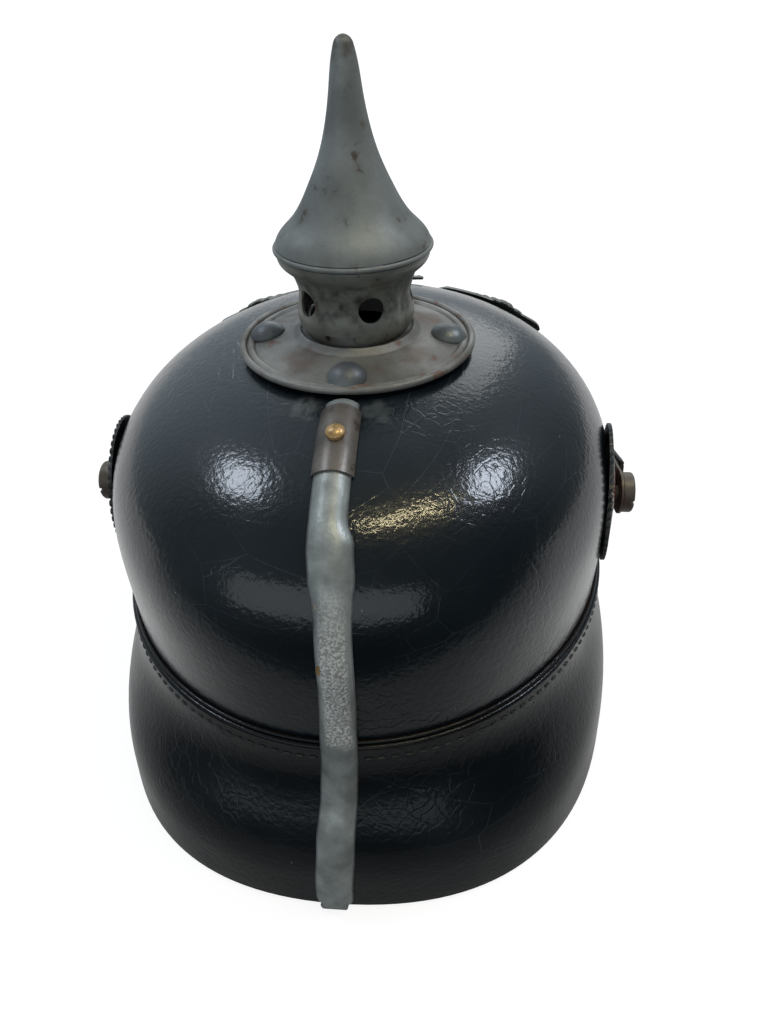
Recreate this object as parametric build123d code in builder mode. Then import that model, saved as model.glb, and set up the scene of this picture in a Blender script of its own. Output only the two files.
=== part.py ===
from build123d import *
import math
import os

os.makedirs("parts", exist_ok=True)

# Skull: a black leather dome. Zero height is the surface that the helmet stands on.
# +Y is the rear, +X is the wearer's left, and the spike's axis is x = y = 0.
skull_half_width = 98.5
skull_half_length = 118.0
skull_centre = -4.0
skull_top = 161.0
skull_equator = 104.0
skull_narrowing = 2.0
skull_low = 46.0
side_steps = 4
dome_fullness_share = 0.66
dome_steps_share = (1.0, 0.85, 0.7, 0.56, 0.44, 0.33, 0.23, 0.14, 0.06)
plan_round_share = 0.5523
skull_stretch = skull_half_length / skull_half_width
leather = 2.6
rim_height = 56.2
rim_tilt = 2.4
crown_vent_radius = 12.0

# Clearances: soft pieces beside each other, metal seats, holes round their pins
soft_gap = 0.3
seat_gap = 0.3
hole_gap = 0.2
overrun = 40.0

# Visors, sewn on over the skull's rim
seam_overlap = 9.0
visor_wall = 2.3
visor_edge_height = 1.3
front_visor_edge_height = 0.8
rear_visor_half_width = 107.0
rear_visor_reach = 131.0
rear_visor_flat_end = 84.0
rear_visor_ear_height = 36.0
rear_visor_front_end = -14.0
front_visor_half_width = 103.0
front_visor_reach = 164.0
front_visor_ear_height = 50.0
front_visor_rear_end = -27.0
visor_gap = 4.0
rear_flare_shares = (0, 0, 0.06, 0.3, 0.62, 0.85, 0.95, 0.985, 1)
front_flare_shares = (0, 0, 0.03, 0.13, 0.27, 0.43, 0.61, 0.8, 1)
rear_plan_share = 0.67
front_plan_share = 0.6

# Metal edge of the front visor
trim_wall = 0.8
trim_width = 5.5
trim_fit = 0.2

# Base plate under the spike
disc_height = 160.7
disc_radius = 43.5
bead_radius = 1.3
sheet = 0.9
face_rise = 3.2
collar_radius = 17.5
collar_height = 10.2
flange_radius = 20.9
flange_height = 5.2
ridge_height = 0.8
ridge_radius = 39.3
tab_count = 3
tab_angle = 25.0
tab_thickness = 1.1
tab_reach = 1.15
notch_angle = 31.0
notch_height = 3.2
first_tab_angle = 79.5

# Spike: heights are above the base plate's edge
spike_height = 96.8
cone_foot = 35.6
cone_radius = 27.0
cone_outline_shares = (
    (0.111, 0.964), (0.152, 0.893), (0.2, 0.753), (0.263, 0.606), (0.367, 0.453),
    (0.533, 0.293), (0.785, 0.121), (0.945, 0.048), (1, 0)
)
cone_inset_shares = (0.8, 0.5)
cone_tip_shares = (0.074, 0.987)
cone_hollow_shares = ((0, 0.86), (0.12, 0.8))
neck_top = 33.2
neck_outline_shares = (
    (1.328, 1), (1.254, 0.855), (1.114, 0.761), (1.045, 0.652), (1, 0.522),
    (1.01, 0.391), (1.045, 0.25), (1.04, 0.145), (1.005, 0.058), (0.955, 0)
)
neck_foot = 5.6
neck_waist_radius = 20.1
rim_ring_radius = 26.9
rim_ring_height = 34.4
rim_ring_section = 0.9
neck_vent_count = 5
neck_vent_radius = 4.5
neck_vent_height = 18.0
first_vent_angle = 112.0

# Studs through base plate and skull
stud_count = 4
stud_circle = 33.8
stud_radius = 6.7
stud_rise = 4.4
stud_shank = 1.5
lean_share = 0.17
stud_washer_radius = 5.5
stud_washer = 1.0
prong_length = 7.0
prong = 0.7

# Spine down the rear, with the vent slide on its upper part
spine_width = 11.6
spine_rise = 3.2
spine_sheet = 1.1
spine_start = 44.8
spine_arc_end = 92.0
spine_gap = 0.5
spine_stand_off = 1.3
spine_shoulder_shares = (0.915, 0.975)
spine_hook_width = 8.0
spine_hook_sheet = 0.9
spine_hook_run = 4.0
spine_foot_heights = (56.0, 46.0, 37.0, 28.0, 19.0, 10.0)
spine_slot_width = 3.6
slide_start = 51.0
slide_length = 27.0
slide_sheet = 0.6
slide_play = 0.25
slide_travel = 12.0
knob_radius = 3.1
knob_rise = 2.6
knob_seat = 0.1
knob_stem = 1.2
spine_pin_radius = 1.4
spine_pin_shares = (0.36, 0.46)
spine_pin_head = 2.4
spine_pin_head_rise = 1.5
spine_washer_radius = 4.5

# Cockades and side posts
post_reach = 11.0
post_height = 101.0
cockade_radius = 27.0
cockade_sheet = 1.4
cockade_flutes = 48
cockade_flute_depth = 0.6
cockade_hub_radius = 9.0
cockade_dish = 2.4
cockade_seat = 96.1
cockade_turn = 6.0
cockade_tip = 3.0
cockade_hole_gap = 0.7
post_radius = 2.6
post_head_radius = 7.9
post_head = 4.2
post_slot_width = 2.0
post_slot_depth = 1.8
post_nut_radius = 7.0
post_nut = 2.4
post_tail = 1.5

# Chinstrap, laid over the front visor
strap_sheet = 1.8
strap_height = 17.0
strap_tilt = 13.0
strap_reach = 152.0
strap_front_radius = 90.0
strap_layer_gap = 0.3
strap_overlap = 34.0
strap_end_sheet = 0.9
strap_plate_seat = 5.6
strap_end_length = 25.0
strap_leather_start = 12.0
strap_inner_gap = 1.7
rivet_radius = 1.3
rivet_head_radius = 2.6
rivet_foot_radius = 2.0
rivet_head = 1.1
rivet_rise = 4.6
rivet_place = 18.5
buckle_frame = 1.5
buckle_fit = 0.4
buckle_width = 10.0
buckle_angle = 17.0

# Eagle plate on the front, its back off the leather: places are across and up from the ground
plate_gap = 3.6
plate_sheet = 1.0
plate_relief = 1.1
rib_width = 2.0
rib_length_share = 0.78
body_place = (0, 112.0)
body_size = (13.0, 22.0)
head_place = (-1.5, 136.0)
head_radius = 6.4
beak_length = 7.0
arm_width = 9.0
shoulder_place = (9.0, 122.0)
elbow_place = (33.0, 136.0)
wrist_place = (53.0, 135.0)
feather_count = 8
feather_width = 8.4
feather_first = (54.0, 134.0)
feather_last = (15.0, 118.0)
feather_turns = (-8.0, -86.0)
feather_lengths = (17.0, 24.0, 30.0, 34.0, 34.0, 31.0, 27.0, 22.0)
tail_place = (0, 96.0)
tail_count = 5
tail_length = 20.0
tail_fan = 52.0
leg_start = (8.0, 104.0)
leg_end = (22.0, 90.0)
leg_width = 5.0
claw_length = 8.0
claw_width = 2.8
claw_turns = (-100.0, -45.0, 10.0)
crown_place = (0, 145.0)
crown_size = (11.0, 5.0)
crown_bead = 1.9
ribbon_start = (7.0, 143.5)
ribbon_end = (19.0, 147.0)
ribbon_width = 3.2
loop_place = 40.0
loop_height = 106.0
loop_length = 15.0
loop_width = 8.0
loop_wire = 1.8
peg_length = 18.0
peg_sheet = 2.2
peg_drop = 5.0
peg_gap = 1.2

# Liner
band_sheet = 1.4
band_low = 4.0
band_height = 30.0
tongue_count = 10
tongue_sheet = 1.3
tongue_slot = 7.0
tongue_low = 78.0
tongue_top = 139.0
tongue_outline_shares = (
    (0, 1), (0.2, 0.985), (0.38, 0.952), (0.56, 0.9), (0.72, 0.81),
    (0.85, 0.67), (0.943, 0.48), (0.984, 0.3), (1, 0.15)
)
tongue_hem_radius = 2.4
cord_circle = 24.0
cord_radius = 1.1
hem_angle = 18.0


def crown_shares(step):
    """Shares of plan and rise on the crown's curve, from the top (0) to the equator (1)."""
    rest = 1 - step
    across = 3 * dome_fullness_share * step * rest**2 + 3 * step**2 * rest + step**3
    up = rest**3 + 3 * step * rest**2 + 3 * dome_fullness_share * step**2 * rest
    return across, up


def dome_height(x, y, growth=0):
    """Height of the dome above a place, for the skull drawn out by a growth."""
    across = math.hypot(x, (y - skull_centre) / skull_stretch) / (skull_half_width + growth)
    low, high = 0, 1
    for _ in range(40):
        middle = (low + high) / 2
        if crown_shares(middle)[0] < across:
            low = middle
        else:
            high = middle
    return skull_equator + (skull_top + growth - skull_equator) * crown_shares(low)[1]


def side_draw(height):
    """How far the skull has drawn in at a height below its equator."""
    share = (skull_equator - height) / (skull_equator - skull_low)
    return skull_narrowing * max(share, 0) ** 2


def plan_outline(half_width, half_length, fullness):
    """A closed oval from four curves, round or fuller."""
    wide, long = fullness * half_width, fullness * half_length
    for across, along in ((1, 1), (-1, 1), (-1, -1), (1, -1)):
        Bezier(
            (across * half_width, 0),
            (across * half_width, along * long),
            (across * wide, along * half_length),
            (0, along * half_length),
        )


def oval_loft(sections):
    """A solid through oval sections, given as heights and half widths, long as the skull is."""
    with BuildPart() as form:
        for height, half_width in sections:
            with BuildSketch(Plane((0, skull_centre, height))):
                with BuildLine():
                    plan_outline(half_width, half_width * skull_stretch, plan_round_share)
                make_face()
        loft()
    return form.part


def dome_form(growth):
    """The solid form of the skull, drawn out by a growth, or in by a negative one."""
    radius = skull_half_width + growth
    sections = []
    for step in range(side_steps):
        height = skull_low + (skull_equator - skull_low) * step / side_steps
        sections.append((height, radius - side_draw(height)))
    for step in dome_steps_share:
        across, up = crown_shares(step)
        sections.append((skull_equator + (skull_top + growth - skull_equator) * up, radius * across))
    return oval_loft(sections)


def dome_shell(outside, inside):
    """A shell that follows the skull's form, between two growths."""
    outer_form = dome_form(outside)
    inner_form = dome_form(inside)
    with BuildPart() as shell:
        add(outer_form)
        add(inner_form, mode=Mode.SUBTRACT)
    return shell.part


def plane_tilted(height, tilt):
    """A level plane at a height on the axis, tilted up to the rear."""
    angle = math.radians(tilt)
    return Plane(origin=(0, 0, height), x_dir=(1, 0, 0), z_dir=(0, -math.sin(angle), math.cos(angle)))


rim_plane = plane_tilted(rim_height, rim_tilt)
seam_at_axis = rim_height + seam_overlap / math.cos(math.radians(rim_tilt))


def seam_height(y):
    """Height of the visors' sewn edge at a place along the helmet."""
    return seam_at_axis + y * math.tan(math.radians(rim_tilt))


def plate_normal(side):
    """Place and outward direction of an eagle plate loop on the skull's front."""
    x = side * loop_place
    run = math.sqrt(1 - (x / skull_half_width) ** 2)
    y = skull_centre - skull_half_length * run
    direction = Vector(x / skull_half_width**2, (y - skull_centre) / skull_half_length**2, 0).normalized()
    share = dome_share_at(loop_height)
    return Vector(x * share, skull_centre + (y - skull_centre) * share, loop_height), direction


def dome_share_at(height):
    """Share of the skull's plan that is left at a height above the equator."""
    low, high = 0, 1
    for _ in range(40):
        middle = (low + high) / 2
        if crown_shares(middle)[1] > (height - skull_equator) / (skull_top - skull_equator):
            low = middle
        else:
            high = middle
    return crown_shares(low)[0]


def inside_dome(point, growth):
    """Whether a point lies inside the skull drawn out by a growth."""
    if point.Z > skull_equator:
        return point.Z < dome_height(point.X, point.Y, growth)
    across = math.hypot(point.X, (point.Y - skull_centre) / skull_stretch)
    return across < skull_half_width + growth - side_draw(point.Z)


def depth_to_dome(plane, growth):
    """How deep below a plane's origin, against its normal, the drawn dome's surface lies."""
    low, high = 0, overrun / 2
    for _ in range(40):
        middle = (low + high) / 2
        if inside_dome(plane.origin - plane.z_dir * middle, growth):
            high = middle
        else:
            low = middle
    return low


def visor_sections(half_width, reach, fullness, flare_shares, growth):
    """Heights, half sizes and fullness of a visor's ovals: close to the skull at the top, then flaring."""
    sections = []
    for step, flare in enumerate(flare_shares):
        height = visor_top * (1 - step / (len(flare_shares) - 1))
        skin = soft_gap + visor_wall + growth
        draw = side_draw(max(height, skull_low))
        wide = (skull_half_width - draw + skin) * (1 - flare) + (half_width + growth) * flare
        long = ((skull_half_width - draw) * skull_stretch + skin) * (1 - flare) + (reach + growth) * flare
        sections.append((height, wide, long, plan_round_share * (1 - flare) + fullness * flare))
    return sections


visor_top = seam_at_axis + seam_overlap
rear_reach = rear_visor_reach - skull_centre
front_reach = front_visor_reach + skull_centre
rear_shape = (rear_visor_half_width, rear_reach, rear_plan_share, rear_flare_shares)
front_shape = (front_visor_half_width, front_reach, front_plan_share, front_flare_shares)
with BuildLine(Plane.YZ) as rear_profile:
    rear_points = [(skull_centre + long, height) for height, _, long, _ in visor_sections(*rear_shape, 0)]
    rear_line = Spline(*rear_points)


def visor_reach(height):
    """Reach of the rear visor's outer face on the middle line."""
    low, high = 0, 1
    for _ in range(40):
        middle = (low + high) / 2
        if (rear_line @ middle).Z > height:
            low = middle
        else:
            high = middle
    return (rear_line @ low).Y


# Middle line of the spine's foot: one arc for the slide to run on, tangent arcs over the shoulder, then a
# curve down the visor
run_middle_reach = (spine_start + spine_arc_end) / 2
shoulder_reaches = [skull_centre + skull_half_length * share for share in spine_shoulder_shares]
spine_points = [
    *[(reach, dome_height(0, reach, spine_gap)) for reach in shoulder_reaches],
    (skull_centre + skull_half_length + spine_stand_off, skull_equator - spine_rise),
]
foot_heights = [seam_height(rear_visor_reach), *spine_foot_heights, visor_edge_height + spine_gap]
with BuildLine(Plane.YZ) as spine_path:
    run = ThreePointArc(
        (spine_start, dome_height(0, spine_start, spine_gap)),
        (run_middle_reach, dome_height(0, run_middle_reach, spine_gap)),
        (spine_arc_end, dome_height(0, spine_arc_end, spine_gap)),
    )
    stretch = run
    for point in spine_points:
        stretch = TangentArc(stretch @ 1, point, tangent=stretch % 1)
    foot_points = [Vector(0, visor_reach(height) + spine_gap, height) for height in foot_heights]
    Spline(stretch @ 1, *foot_points, tangents=(stretch % 1, Vector(0, 0, -1)))
spine_wire = spine_path.wire()


def spine_plane(share):
    """Plane on the spine's middle line at a share of its length, its normal pointing outwards."""
    turn = spine_wire % share
    return Plane(origin=spine_wire @ share, x_dir=(1, 0, 0), z_dir=(0, -turn.Z, turn.Y))


def stud_plane(turn):
    """Plane of a stud on the base plate's sloping face."""
    angle = math.radians(90 * turn)
    lean = math.atan2(face_rise, ridge_radius - 2 * ridge_height - flange_radius - flange_height / 2)
    rise = (ridge_radius - 2 * ridge_height - stud_circle) * math.tan(lean)
    place = (stud_circle * math.cos(angle), stud_circle * math.sin(angle), disc_height + rise)
    out = (math.sin(lean) * math.cos(angle), math.sin(lean) * math.sin(angle), math.cos(lean))
    return Plane(origin=place, x_dir=(-math.sin(angle), math.cos(angle), 0), z_dir=out)


stud_planes = [stud_plane(turn) for turn in range(stud_count)]
pin_planes = [spine_plane(share) for share in spine_pin_shares]
run_centre = run.arc_center
run_radius = run.radius
run_point = run @ 0
run_first_angle = math.degrees(math.atan2(run_point.Z - run_centre.Z, run_point.Y - run_centre.Y))


def run_plane(along):
    """Plane on the slide's arc at a length along it from the spine's top."""
    angle = math.radians(run_first_angle) - along / run_radius
    out = Vector(0, math.cos(angle), math.sin(angle))
    return Plane(origin=run_centre + out * run_radius, x_dir=(1, 0, 0), z_dir=out)


slide_middle = slide_start - spine_start + slide_length / 2

# Skull: open at the crown under the spike, and drilled for studs, pins, posts and plate loops
leather_shell = dome_shell(0, -leather)
with BuildPart() as skull:
    add(leather_shell)
    split(bisect_by=rim_plane, keep=Keep.TOP)
    with Locations((0, 0, skull_top)):
        Cylinder(crown_vent_radius, overrun, mode=Mode.SUBTRACT)
    with Locations(*[plane.location for plane in stud_planes]):
        Cylinder(stud_shank + hole_gap, overrun, mode=Mode.SUBTRACT)
    with Locations(run_plane(slide_middle).location):
        Cylinder(spine_slot_width, overrun / 2, mode=Mode.SUBTRACT)
    with Locations(*[plane.location for plane in pin_planes]):
        Cylinder(spine_pin_radius + hole_gap, overrun / 2, mode=Mode.SUBTRACT)
    with Locations((0, post_reach, post_height)):
        Cylinder(post_radius + hole_gap, 4 * skull_half_width, rotation=(0, 90, 0), mode=Mode.SUBTRACT)
    for side in (-1, 1):
        place, direction = plate_normal(side)
        with Locations(Plane(origin=place, x_dir=direction, z_dir=(0, 0, 1)).location):
            Box(overrun / 2, loop_width + soft_gap, loop_wire + 2 * soft_gap, mode=Mode.SUBTRACT)
skull.part.label = "skull"
export_step(skull.part, "parts/skull.step")


def visor_form(shape, growth):
    """The flaring form that a visor is cut from, between the seam and the ground."""
    with BuildPart() as form:
        for height, wide, long, round_share in visor_sections(*shape, growth):
            with BuildSketch(Plane((0, skull_centre, height))):
                with BuildLine():
                    plan_outline(wide, long, round_share)
                make_face()
        loft()
    return form.part


# Rear visor: kept behind the ears by its outline in side view
rear_outer = visor_form(rear_shape, 0)
rear_inner = visor_form(rear_shape, -visor_wall)
far_rear = rear_visor_reach + overrun
with BuildPart() as rear_visor:
    with BuildSketch(Plane.YZ):
        with BuildLine():
            edge = Line((far_rear, visor_edge_height), (rear_visor_flat_end, visor_edge_height))
            rise = Bezier(
                edge @ 1,
                ((rear_visor_flat_end + rear_visor_front_end) / 2, visor_edge_height),
                (rear_visor_front_end + seam_overlap, rear_visor_ear_height - seam_overlap),
                (rear_visor_front_end, rear_visor_ear_height),
            )
            ear_top = rear_visor_front_end - seam_overlap
            ear = Line(rise @ 1, (ear_top, seam_height(ear_top)))
            Polyline(ear @ 1, (far_rear, seam_height(far_rear)), (far_rear, visor_edge_height))
        make_face()
    extrude(amount=2 * skull_half_width, both=True)
    add(rear_outer, mode=Mode.INTERSECT)
    add(rear_inner, mode=Mode.SUBTRACT)
rear_visor.part.label = "rear_visor"
export_step(rear_visor.part, "parts/rear_visor.step")

# Front visor: its lower edge lies in one tilted plane
front_outer = visor_form(front_shape, 0)
front_inner = visor_form(front_shape, -visor_wall)
far_front = -front_visor_reach - overrun
edge_slope = (front_visor_ear_height - front_visor_edge_height) / (front_visor_reach + front_visor_rear_end)


def front_edge(y, drop=0):
    """Height of the front visor's lower edge, or of a line a drop below it."""
    return front_visor_edge_height - drop + (y + front_visor_reach) * edge_slope


with BuildPart() as front_visor:
    with BuildSketch(Plane.YZ):
        with BuildLine():
            ear_top = front_visor_rear_end - visor_gap
            Polyline(
                (far_front, front_edge(far_front)),
                (front_visor_rear_end, front_edge(front_visor_rear_end)),
                (ear_top, seam_height(ear_top)),
                (far_front, seam_height(far_front)),
                (far_front, front_edge(far_front)),
            )
        make_face()
    extrude(amount=2 * skull_half_width, both=True)
    add(front_outer, mode=Mode.INTERSECT)
    add(front_inner, mode=Mode.SUBTRACT)
front_visor.part.label = "front_visor"
export_step(front_visor.part, "parts/front_visor.step")

# Trim: a folded channel over the front visor's edge, flat where the helmet stands on it
trim_skin = trim_fit + trim_wall
trim_outer = visor_form(front_shape, trim_skin)
trim_inner = visor_form(front_shape, -visor_wall - trim_skin)
slot_outer = visor_form(front_shape, trim_fit)
slot_inner = visor_form(front_shape, -visor_wall - trim_fit)
trim_end = front_visor_rear_end - visor_gap
with BuildPart() as trim_slot:
    with BuildSketch(Plane.YZ):
        with BuildLine():
            Polyline(
                (far_front, front_edge(far_front, trim_fit)),
                (overrun, front_edge(overrun, trim_fit)),
                (overrun, skull_equator),
                (far_front, skull_equator),
                (far_front, front_edge(far_front, trim_fit)),
            )
        make_face()
    extrude(amount=2 * skull_half_width, both=True)
    add(slot_outer, mode=Mode.INTERSECT)
    add(slot_inner, mode=Mode.SUBTRACT)
with BuildPart() as front_visor_trim:
    with BuildSketch(Plane.YZ):
        with BuildLine():
            Polyline(
                (far_front, front_edge(far_front, trim_skin)),
                (trim_end, front_edge(trim_end, trim_skin)),
                (trim_end, front_edge(trim_end, -trim_width)),
                (far_front, front_edge(far_front, -trim_width)),
                (far_front, front_edge(far_front, trim_skin)),
            )
        make_face()
    extrude(amount=2 * skull_half_width, both=True)
    add(trim_outer, mode=Mode.INTERSECT)
    add(trim_inner, mode=Mode.SUBTRACT)
    add(trim_slot.part, mode=Mode.SUBTRACT)
front_visor_trim.part.label = "front_visor_trim"
export_step(front_visor_trim.part, "parts/front_visor_trim.step")

# Base plate: rolled edge, sloping face, soft flange, bayonet collar with tabs
flange_foot = flange_radius + flange_height / 2
ridge_low = ridge_radius - 2 * ridge_height
ridge_far = ridge_radius + 2 * ridge_height
bead_circle = disc_radius - bead_radius
collar_bore = collar_radius - sheet
tab_low = neck_foot + sheet + seat_gap


def plate_top_line():
    """Draw the top of the base plate from its collar out to its rolled edge."""
    wall = Line((collar_radius, collar_height), (collar_radius, flange_height - sheet))
    seat = Line(wall @ 1, (flange_radius - 2 * sheet, flange_height - sheet))
    roll = Spline(
        seat @ 1, (flange_radius, flange_height), (flange_foot, face_rise), tangents=((1, 0), (1, -0.5))
    )
    face = Line(roll @ 1, (ridge_low, 0))
    ridge = ThreePointArc(face @ 1, (ridge_radius, ridge_height), (ridge_far, 0))
    Line(ridge @ 1, (bead_circle, 0))


with BuildPart() as plate_underside:
    with BuildSketch(Plane.XZ):
        with BuildLine():
            plate_top_line()
            Polyline(
                (bead_circle, 0),
                (bead_circle, -overrun),
                (0, -overrun),
                (0, collar_height),
                (collar_radius, collar_height),
            )
        make_face()
        with Locations((bead_circle, 0)):
            Circle(bead_radius + hole_gap)
    revolve(axis=Axis.Z)
under_plate = plate_underside.part.moved(Location((0, 0, disc_height)))

with BuildPart() as plate_tab:
    with BuildSketch(Plane.XZ):
        with Locations((collar_radius + tab_reach / 2 - sheet / 4, tab_low + tab_thickness / 2)):
            Rectangle(tab_reach + sheet / 2, tab_thickness)
    revolve(axis=Axis.Z, revolution_arc=tab_angle)
tab_turns = [first_tab_angle - tab_angle / 2 + 360 / tab_count * turn for turn in range(tab_count)]

with BuildPart() as plate_ring:
    with BuildSketch(Plane.XZ):
        with BuildLine():
            plate_top_line()
            Polyline(
                (bead_circle, 0),
                (bead_circle, -sheet),
                (ridge_low, -sheet),
                (flange_foot, face_rise - sheet),
                (flange_radius - sheet, flange_height - 2 * sheet),
                (collar_bore, flange_height - 2 * sheet),
                (collar_bore, collar_height),
                (collar_radius, collar_height),
            )
        make_face()
        with Locations((bead_circle, 0)):
            Circle(bead_radius)
    revolve(axis=Axis.Z)
    add([plate_tab.part.rotate(Axis.Z, turn) for turn in tab_turns])
placed_ring = plate_ring.part.moved(Location((0, 0, disc_height)))
with BuildPart() as base_plate:
    add(placed_ring)
    with Locations(*[plane.location for plane in stud_planes]):
        Cylinder(stud_shank + hole_gap, overrun, mode=Mode.SUBTRACT)
base_plate.part.label = "base_plate"
export_step(base_plate.part, "parts/base_plate.step")


def cap_middle(radius, low, high):
    """A point half way out on a round cap's arc, which is level at its axis."""
    curve = (radius**2 + (high - low) ** 2) / (2 * (high - low))
    return radius / 2, high - curve + math.sqrt(curve**2 - (radius / 2) ** 2)


# Studs: domed heads cut to the plate's face, shanks through plate and skull, prongs bent over washers
heads, washers = [], []
washer_lean = stud_washer_radius * lean_share
for plane in stud_planes:
    washer_top = depth_to_dome(plane, -leather) + washer_lean
    foot = washer_top + stud_washer + hole_gap + prong
    with BuildPart() as head:
        with BuildSketch(Plane.XZ):
            with BuildLine():
                side = Polyline((0, stud_rise), (0, -sheet), (stud_radius, -sheet), (stud_radius, prong))
                ThreePointArc(side @ 1, cap_middle(stud_radius, prong, stud_rise), (0, stud_rise))
            make_face()
        revolve(axis=Axis.Z)
    placed_head = head.part.moved(plane.location)
    with BuildPart() as cap:
        add(placed_head)
        add(under_plate, mode=Mode.SUBTRACT)
    top_of_cap = cap.part.solids().sort_by(Axis.Z)[-1]
    with BuildPart() as stud:
        add(top_of_cap)
        with Locations(plane.offset((stud_rise / 2 - foot) / 2).location):
            Cylinder(stud_shank, foot + stud_rise / 2)
        with Locations(plane.offset(prong / 2 - foot).location):
            Box(prong_length, 2 * stud_shank, prong)
    heads.append(stud.part)
    with BuildPart() as washer:
        with Locations(plane.offset(-washer_top - stud_washer / 2).location):
            Cylinder(stud_washer_radius, stud_washer)
            Cylinder(stud_shank + hole_gap, 2 * stud_washer, mode=Mode.SUBTRACT)
    washers.append(washer.part)
with BuildPart() as base_studs:
    add(heads)
base_studs.part.label = "base_studs"
export_step(base_studs.part, "parts/base_studs.step")
with BuildPart() as stud_washers:
    add(washers)
stud_washers.part.label = "stud_washers"
export_step(stud_washers.part, "parts/stud_washers.step")

# Spike cone: thin sheet, a slender point that flares out to a rim
cone_rise = spike_height - cone_foot
cone_outside = [(cone_radius * across, cone_foot + cone_rise * up) for across, up in cone_outline_shares]
cone_across, cone_down = cone_inset_shares
cone_inside = [(across - cone_across * sheet, up - cone_down * sheet) for across, up in cone_outside[3:]]
cone_tip = (cone_radius * cone_tip_shares[0], cone_foot + cone_rise * cone_tip_shares[1])
cone_hollow = [(cone_radius * across, cone_foot + cone_rise * up) for across, up in cone_hollow_shares]
axis_plane = Plane((0, 0, disc_height), x_dir=(1, 0, 0), z_dir=(0, -1, 0))
with BuildPart() as spike_cone:
    with BuildSketch(axis_plane):
        with BuildLine():
            ThreePointArc((0, spike_height), cone_tip, cone_outside[0])
            Spline(*cone_outside)
            Line(cone_outside[-1], cone_inside[-1])
            Spline(cone_hollow[-1], *cone_inside)
            Polyline(cone_hollow[-1], cone_hollow[0], (0, spike_height))
        make_face()
    revolve(axis=Axis.Z)
spike_cone.part.label = "spike_cone"
export_step(spike_cone.part, "parts/spike_cone.step")

# Spike neck: waisted sheet tube with vent holes, and a foot flange notched for the bayonet tabs
neck_rise = neck_top - neck_foot
neck_outside = [
    (neck_waist_radius * across, neck_foot + neck_rise * up) for across, up in neck_outline_shares
]
neck_inside = [(across - sheet, up) for across, up in neck_outside[:-1]]
flange_bore = collar_radius + 2 * seat_gap
with BuildPart() as notch:
    with BuildSketch(axis_plane):
        with Locations((neck_waist_radius, neck_foot + (notch_height - sheet) / 2)):
            Rectangle(2 * (neck_waist_radius - collar_bore), notch_height + sheet)
    revolve(axis=Axis.Z, revolution_arc=notch_angle)
notch_turns = [first_tab_angle - notch_angle / 2 + 360 / tab_count * turn for turn in range(tab_count)]
vent_turns = [first_vent_angle + 360 / neck_vent_count * turn for turn in range(neck_vent_count)]
with BuildPart() as spike_neck:
    with BuildSketch(axis_plane):
        with BuildLine():
            Spline(*neck_outside)
            Line(neck_outside[0], neck_inside[0])
            flange_up = neck_foot + sheet
            flange_top = (neck_inside[-1][0] - sheet / 2, flange_up)
            Spline(*neck_inside, flange_top)
            Polyline(flange_top, (flange_bore, flange_up), (flange_bore, neck_foot), neck_outside[-1])
        make_face()
    revolve(axis=Axis.Z)
    add([notch.part.rotate(Axis.Z, turn) for turn in notch_turns], mode=Mode.SUBTRACT)
    for turn in vent_turns:
        out = (math.cos(math.radians(turn)), math.sin(math.radians(turn)), 0)
        vent_place = (neck_waist_radius * out[0], neck_waist_radius * out[1], disc_height + neck_vent_height)
        with Locations(Plane(origin=vent_place, z_dir=out).location):
            Cylinder(neck_vent_radius, neck_waist_radius, mode=Mode.SUBTRACT)
spike_neck.part.label = "spike_neck"
export_step(spike_neck.part, "parts/spike_neck.step")

# Crimped ring between cone and neck
with BuildPart() as spike_rim_ring:
    with BuildSketch(axis_plane):
        with Locations((rim_ring_radius, rim_ring_height)):
            Circle(rim_ring_section)
    revolve(axis=Axis.Z)
spike_rim_ring.part.label = "spike_rim_ring"
export_step(spike_rim_ring.part, "parts/spike_rim_ring.step")


def arch_outline(half_width, rise, wall, foot):
    """Draw an arched channel's closed outline, its feet at a height."""
    crown = ThreePointArc((-half_width, foot), (0, rise), (half_width, foot))
    inner = ThreePointArc((half_width - wall, foot), (0, rise - wall), (wall - half_width, foot))
    Line(crown @ 1, inner @ 0)
    Line(inner @ 1, crown @ 0)


# Rear spine: arched strip swept down the rear, slotted under the slide, hooked round the visor's edge
visor_lean = (visor_reach(0) - visor_reach(spine_hook_run)) / spine_hook_run
hook_out = visor_reach(0) + soft_gap
hook_in = visor_reach(0) - visor_wall - soft_gap
hook_far = hook_out + 1.5 * spine_sheet
hook_high = visor_edge_height + spine_hook_run
slot_middle = slide_middle + slide_travel / 2
slot_length = slide_travel + 4 * knob_stem
with BuildPart() as rear_spine:
    with BuildSketch(Plane(origin=spine_wire @ 0, x_dir=(-1, 0, 0), z_dir=spine_wire % 0)):
        with BuildLine():
            arch_outline(spine_width / 2, spine_rise, spine_sheet, 0)
        make_face()
    sweep(path=spine_wire)
    with Locations(run_plane(slot_middle).location):
        Box(spine_slot_width, slot_length, 4 * spine_rise, mode=Mode.SUBTRACT)
    with BuildSketch(Plane.YZ):
        with BuildLine():
            Polyline(
                (hook_far, 0),
                (hook_far - visor_lean * hook_high, hook_high),
                (hook_out - visor_lean * hook_high, hook_high),
                (hook_out, spine_hook_sheet),
                (hook_in, spine_hook_sheet),
                (hook_in - visor_lean * hook_high, hook_high),
                (hook_in - spine_hook_sheet - visor_lean * hook_high, hook_high),
                (hook_in - spine_hook_sheet, 0),
                close=True,
            )
        make_face()
    extrude(amount=spine_hook_width / 2, both=True)
rear_spine.part.label = "rear_spine"
export_step(rear_spine.part, "parts/rear_spine.step")

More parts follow.
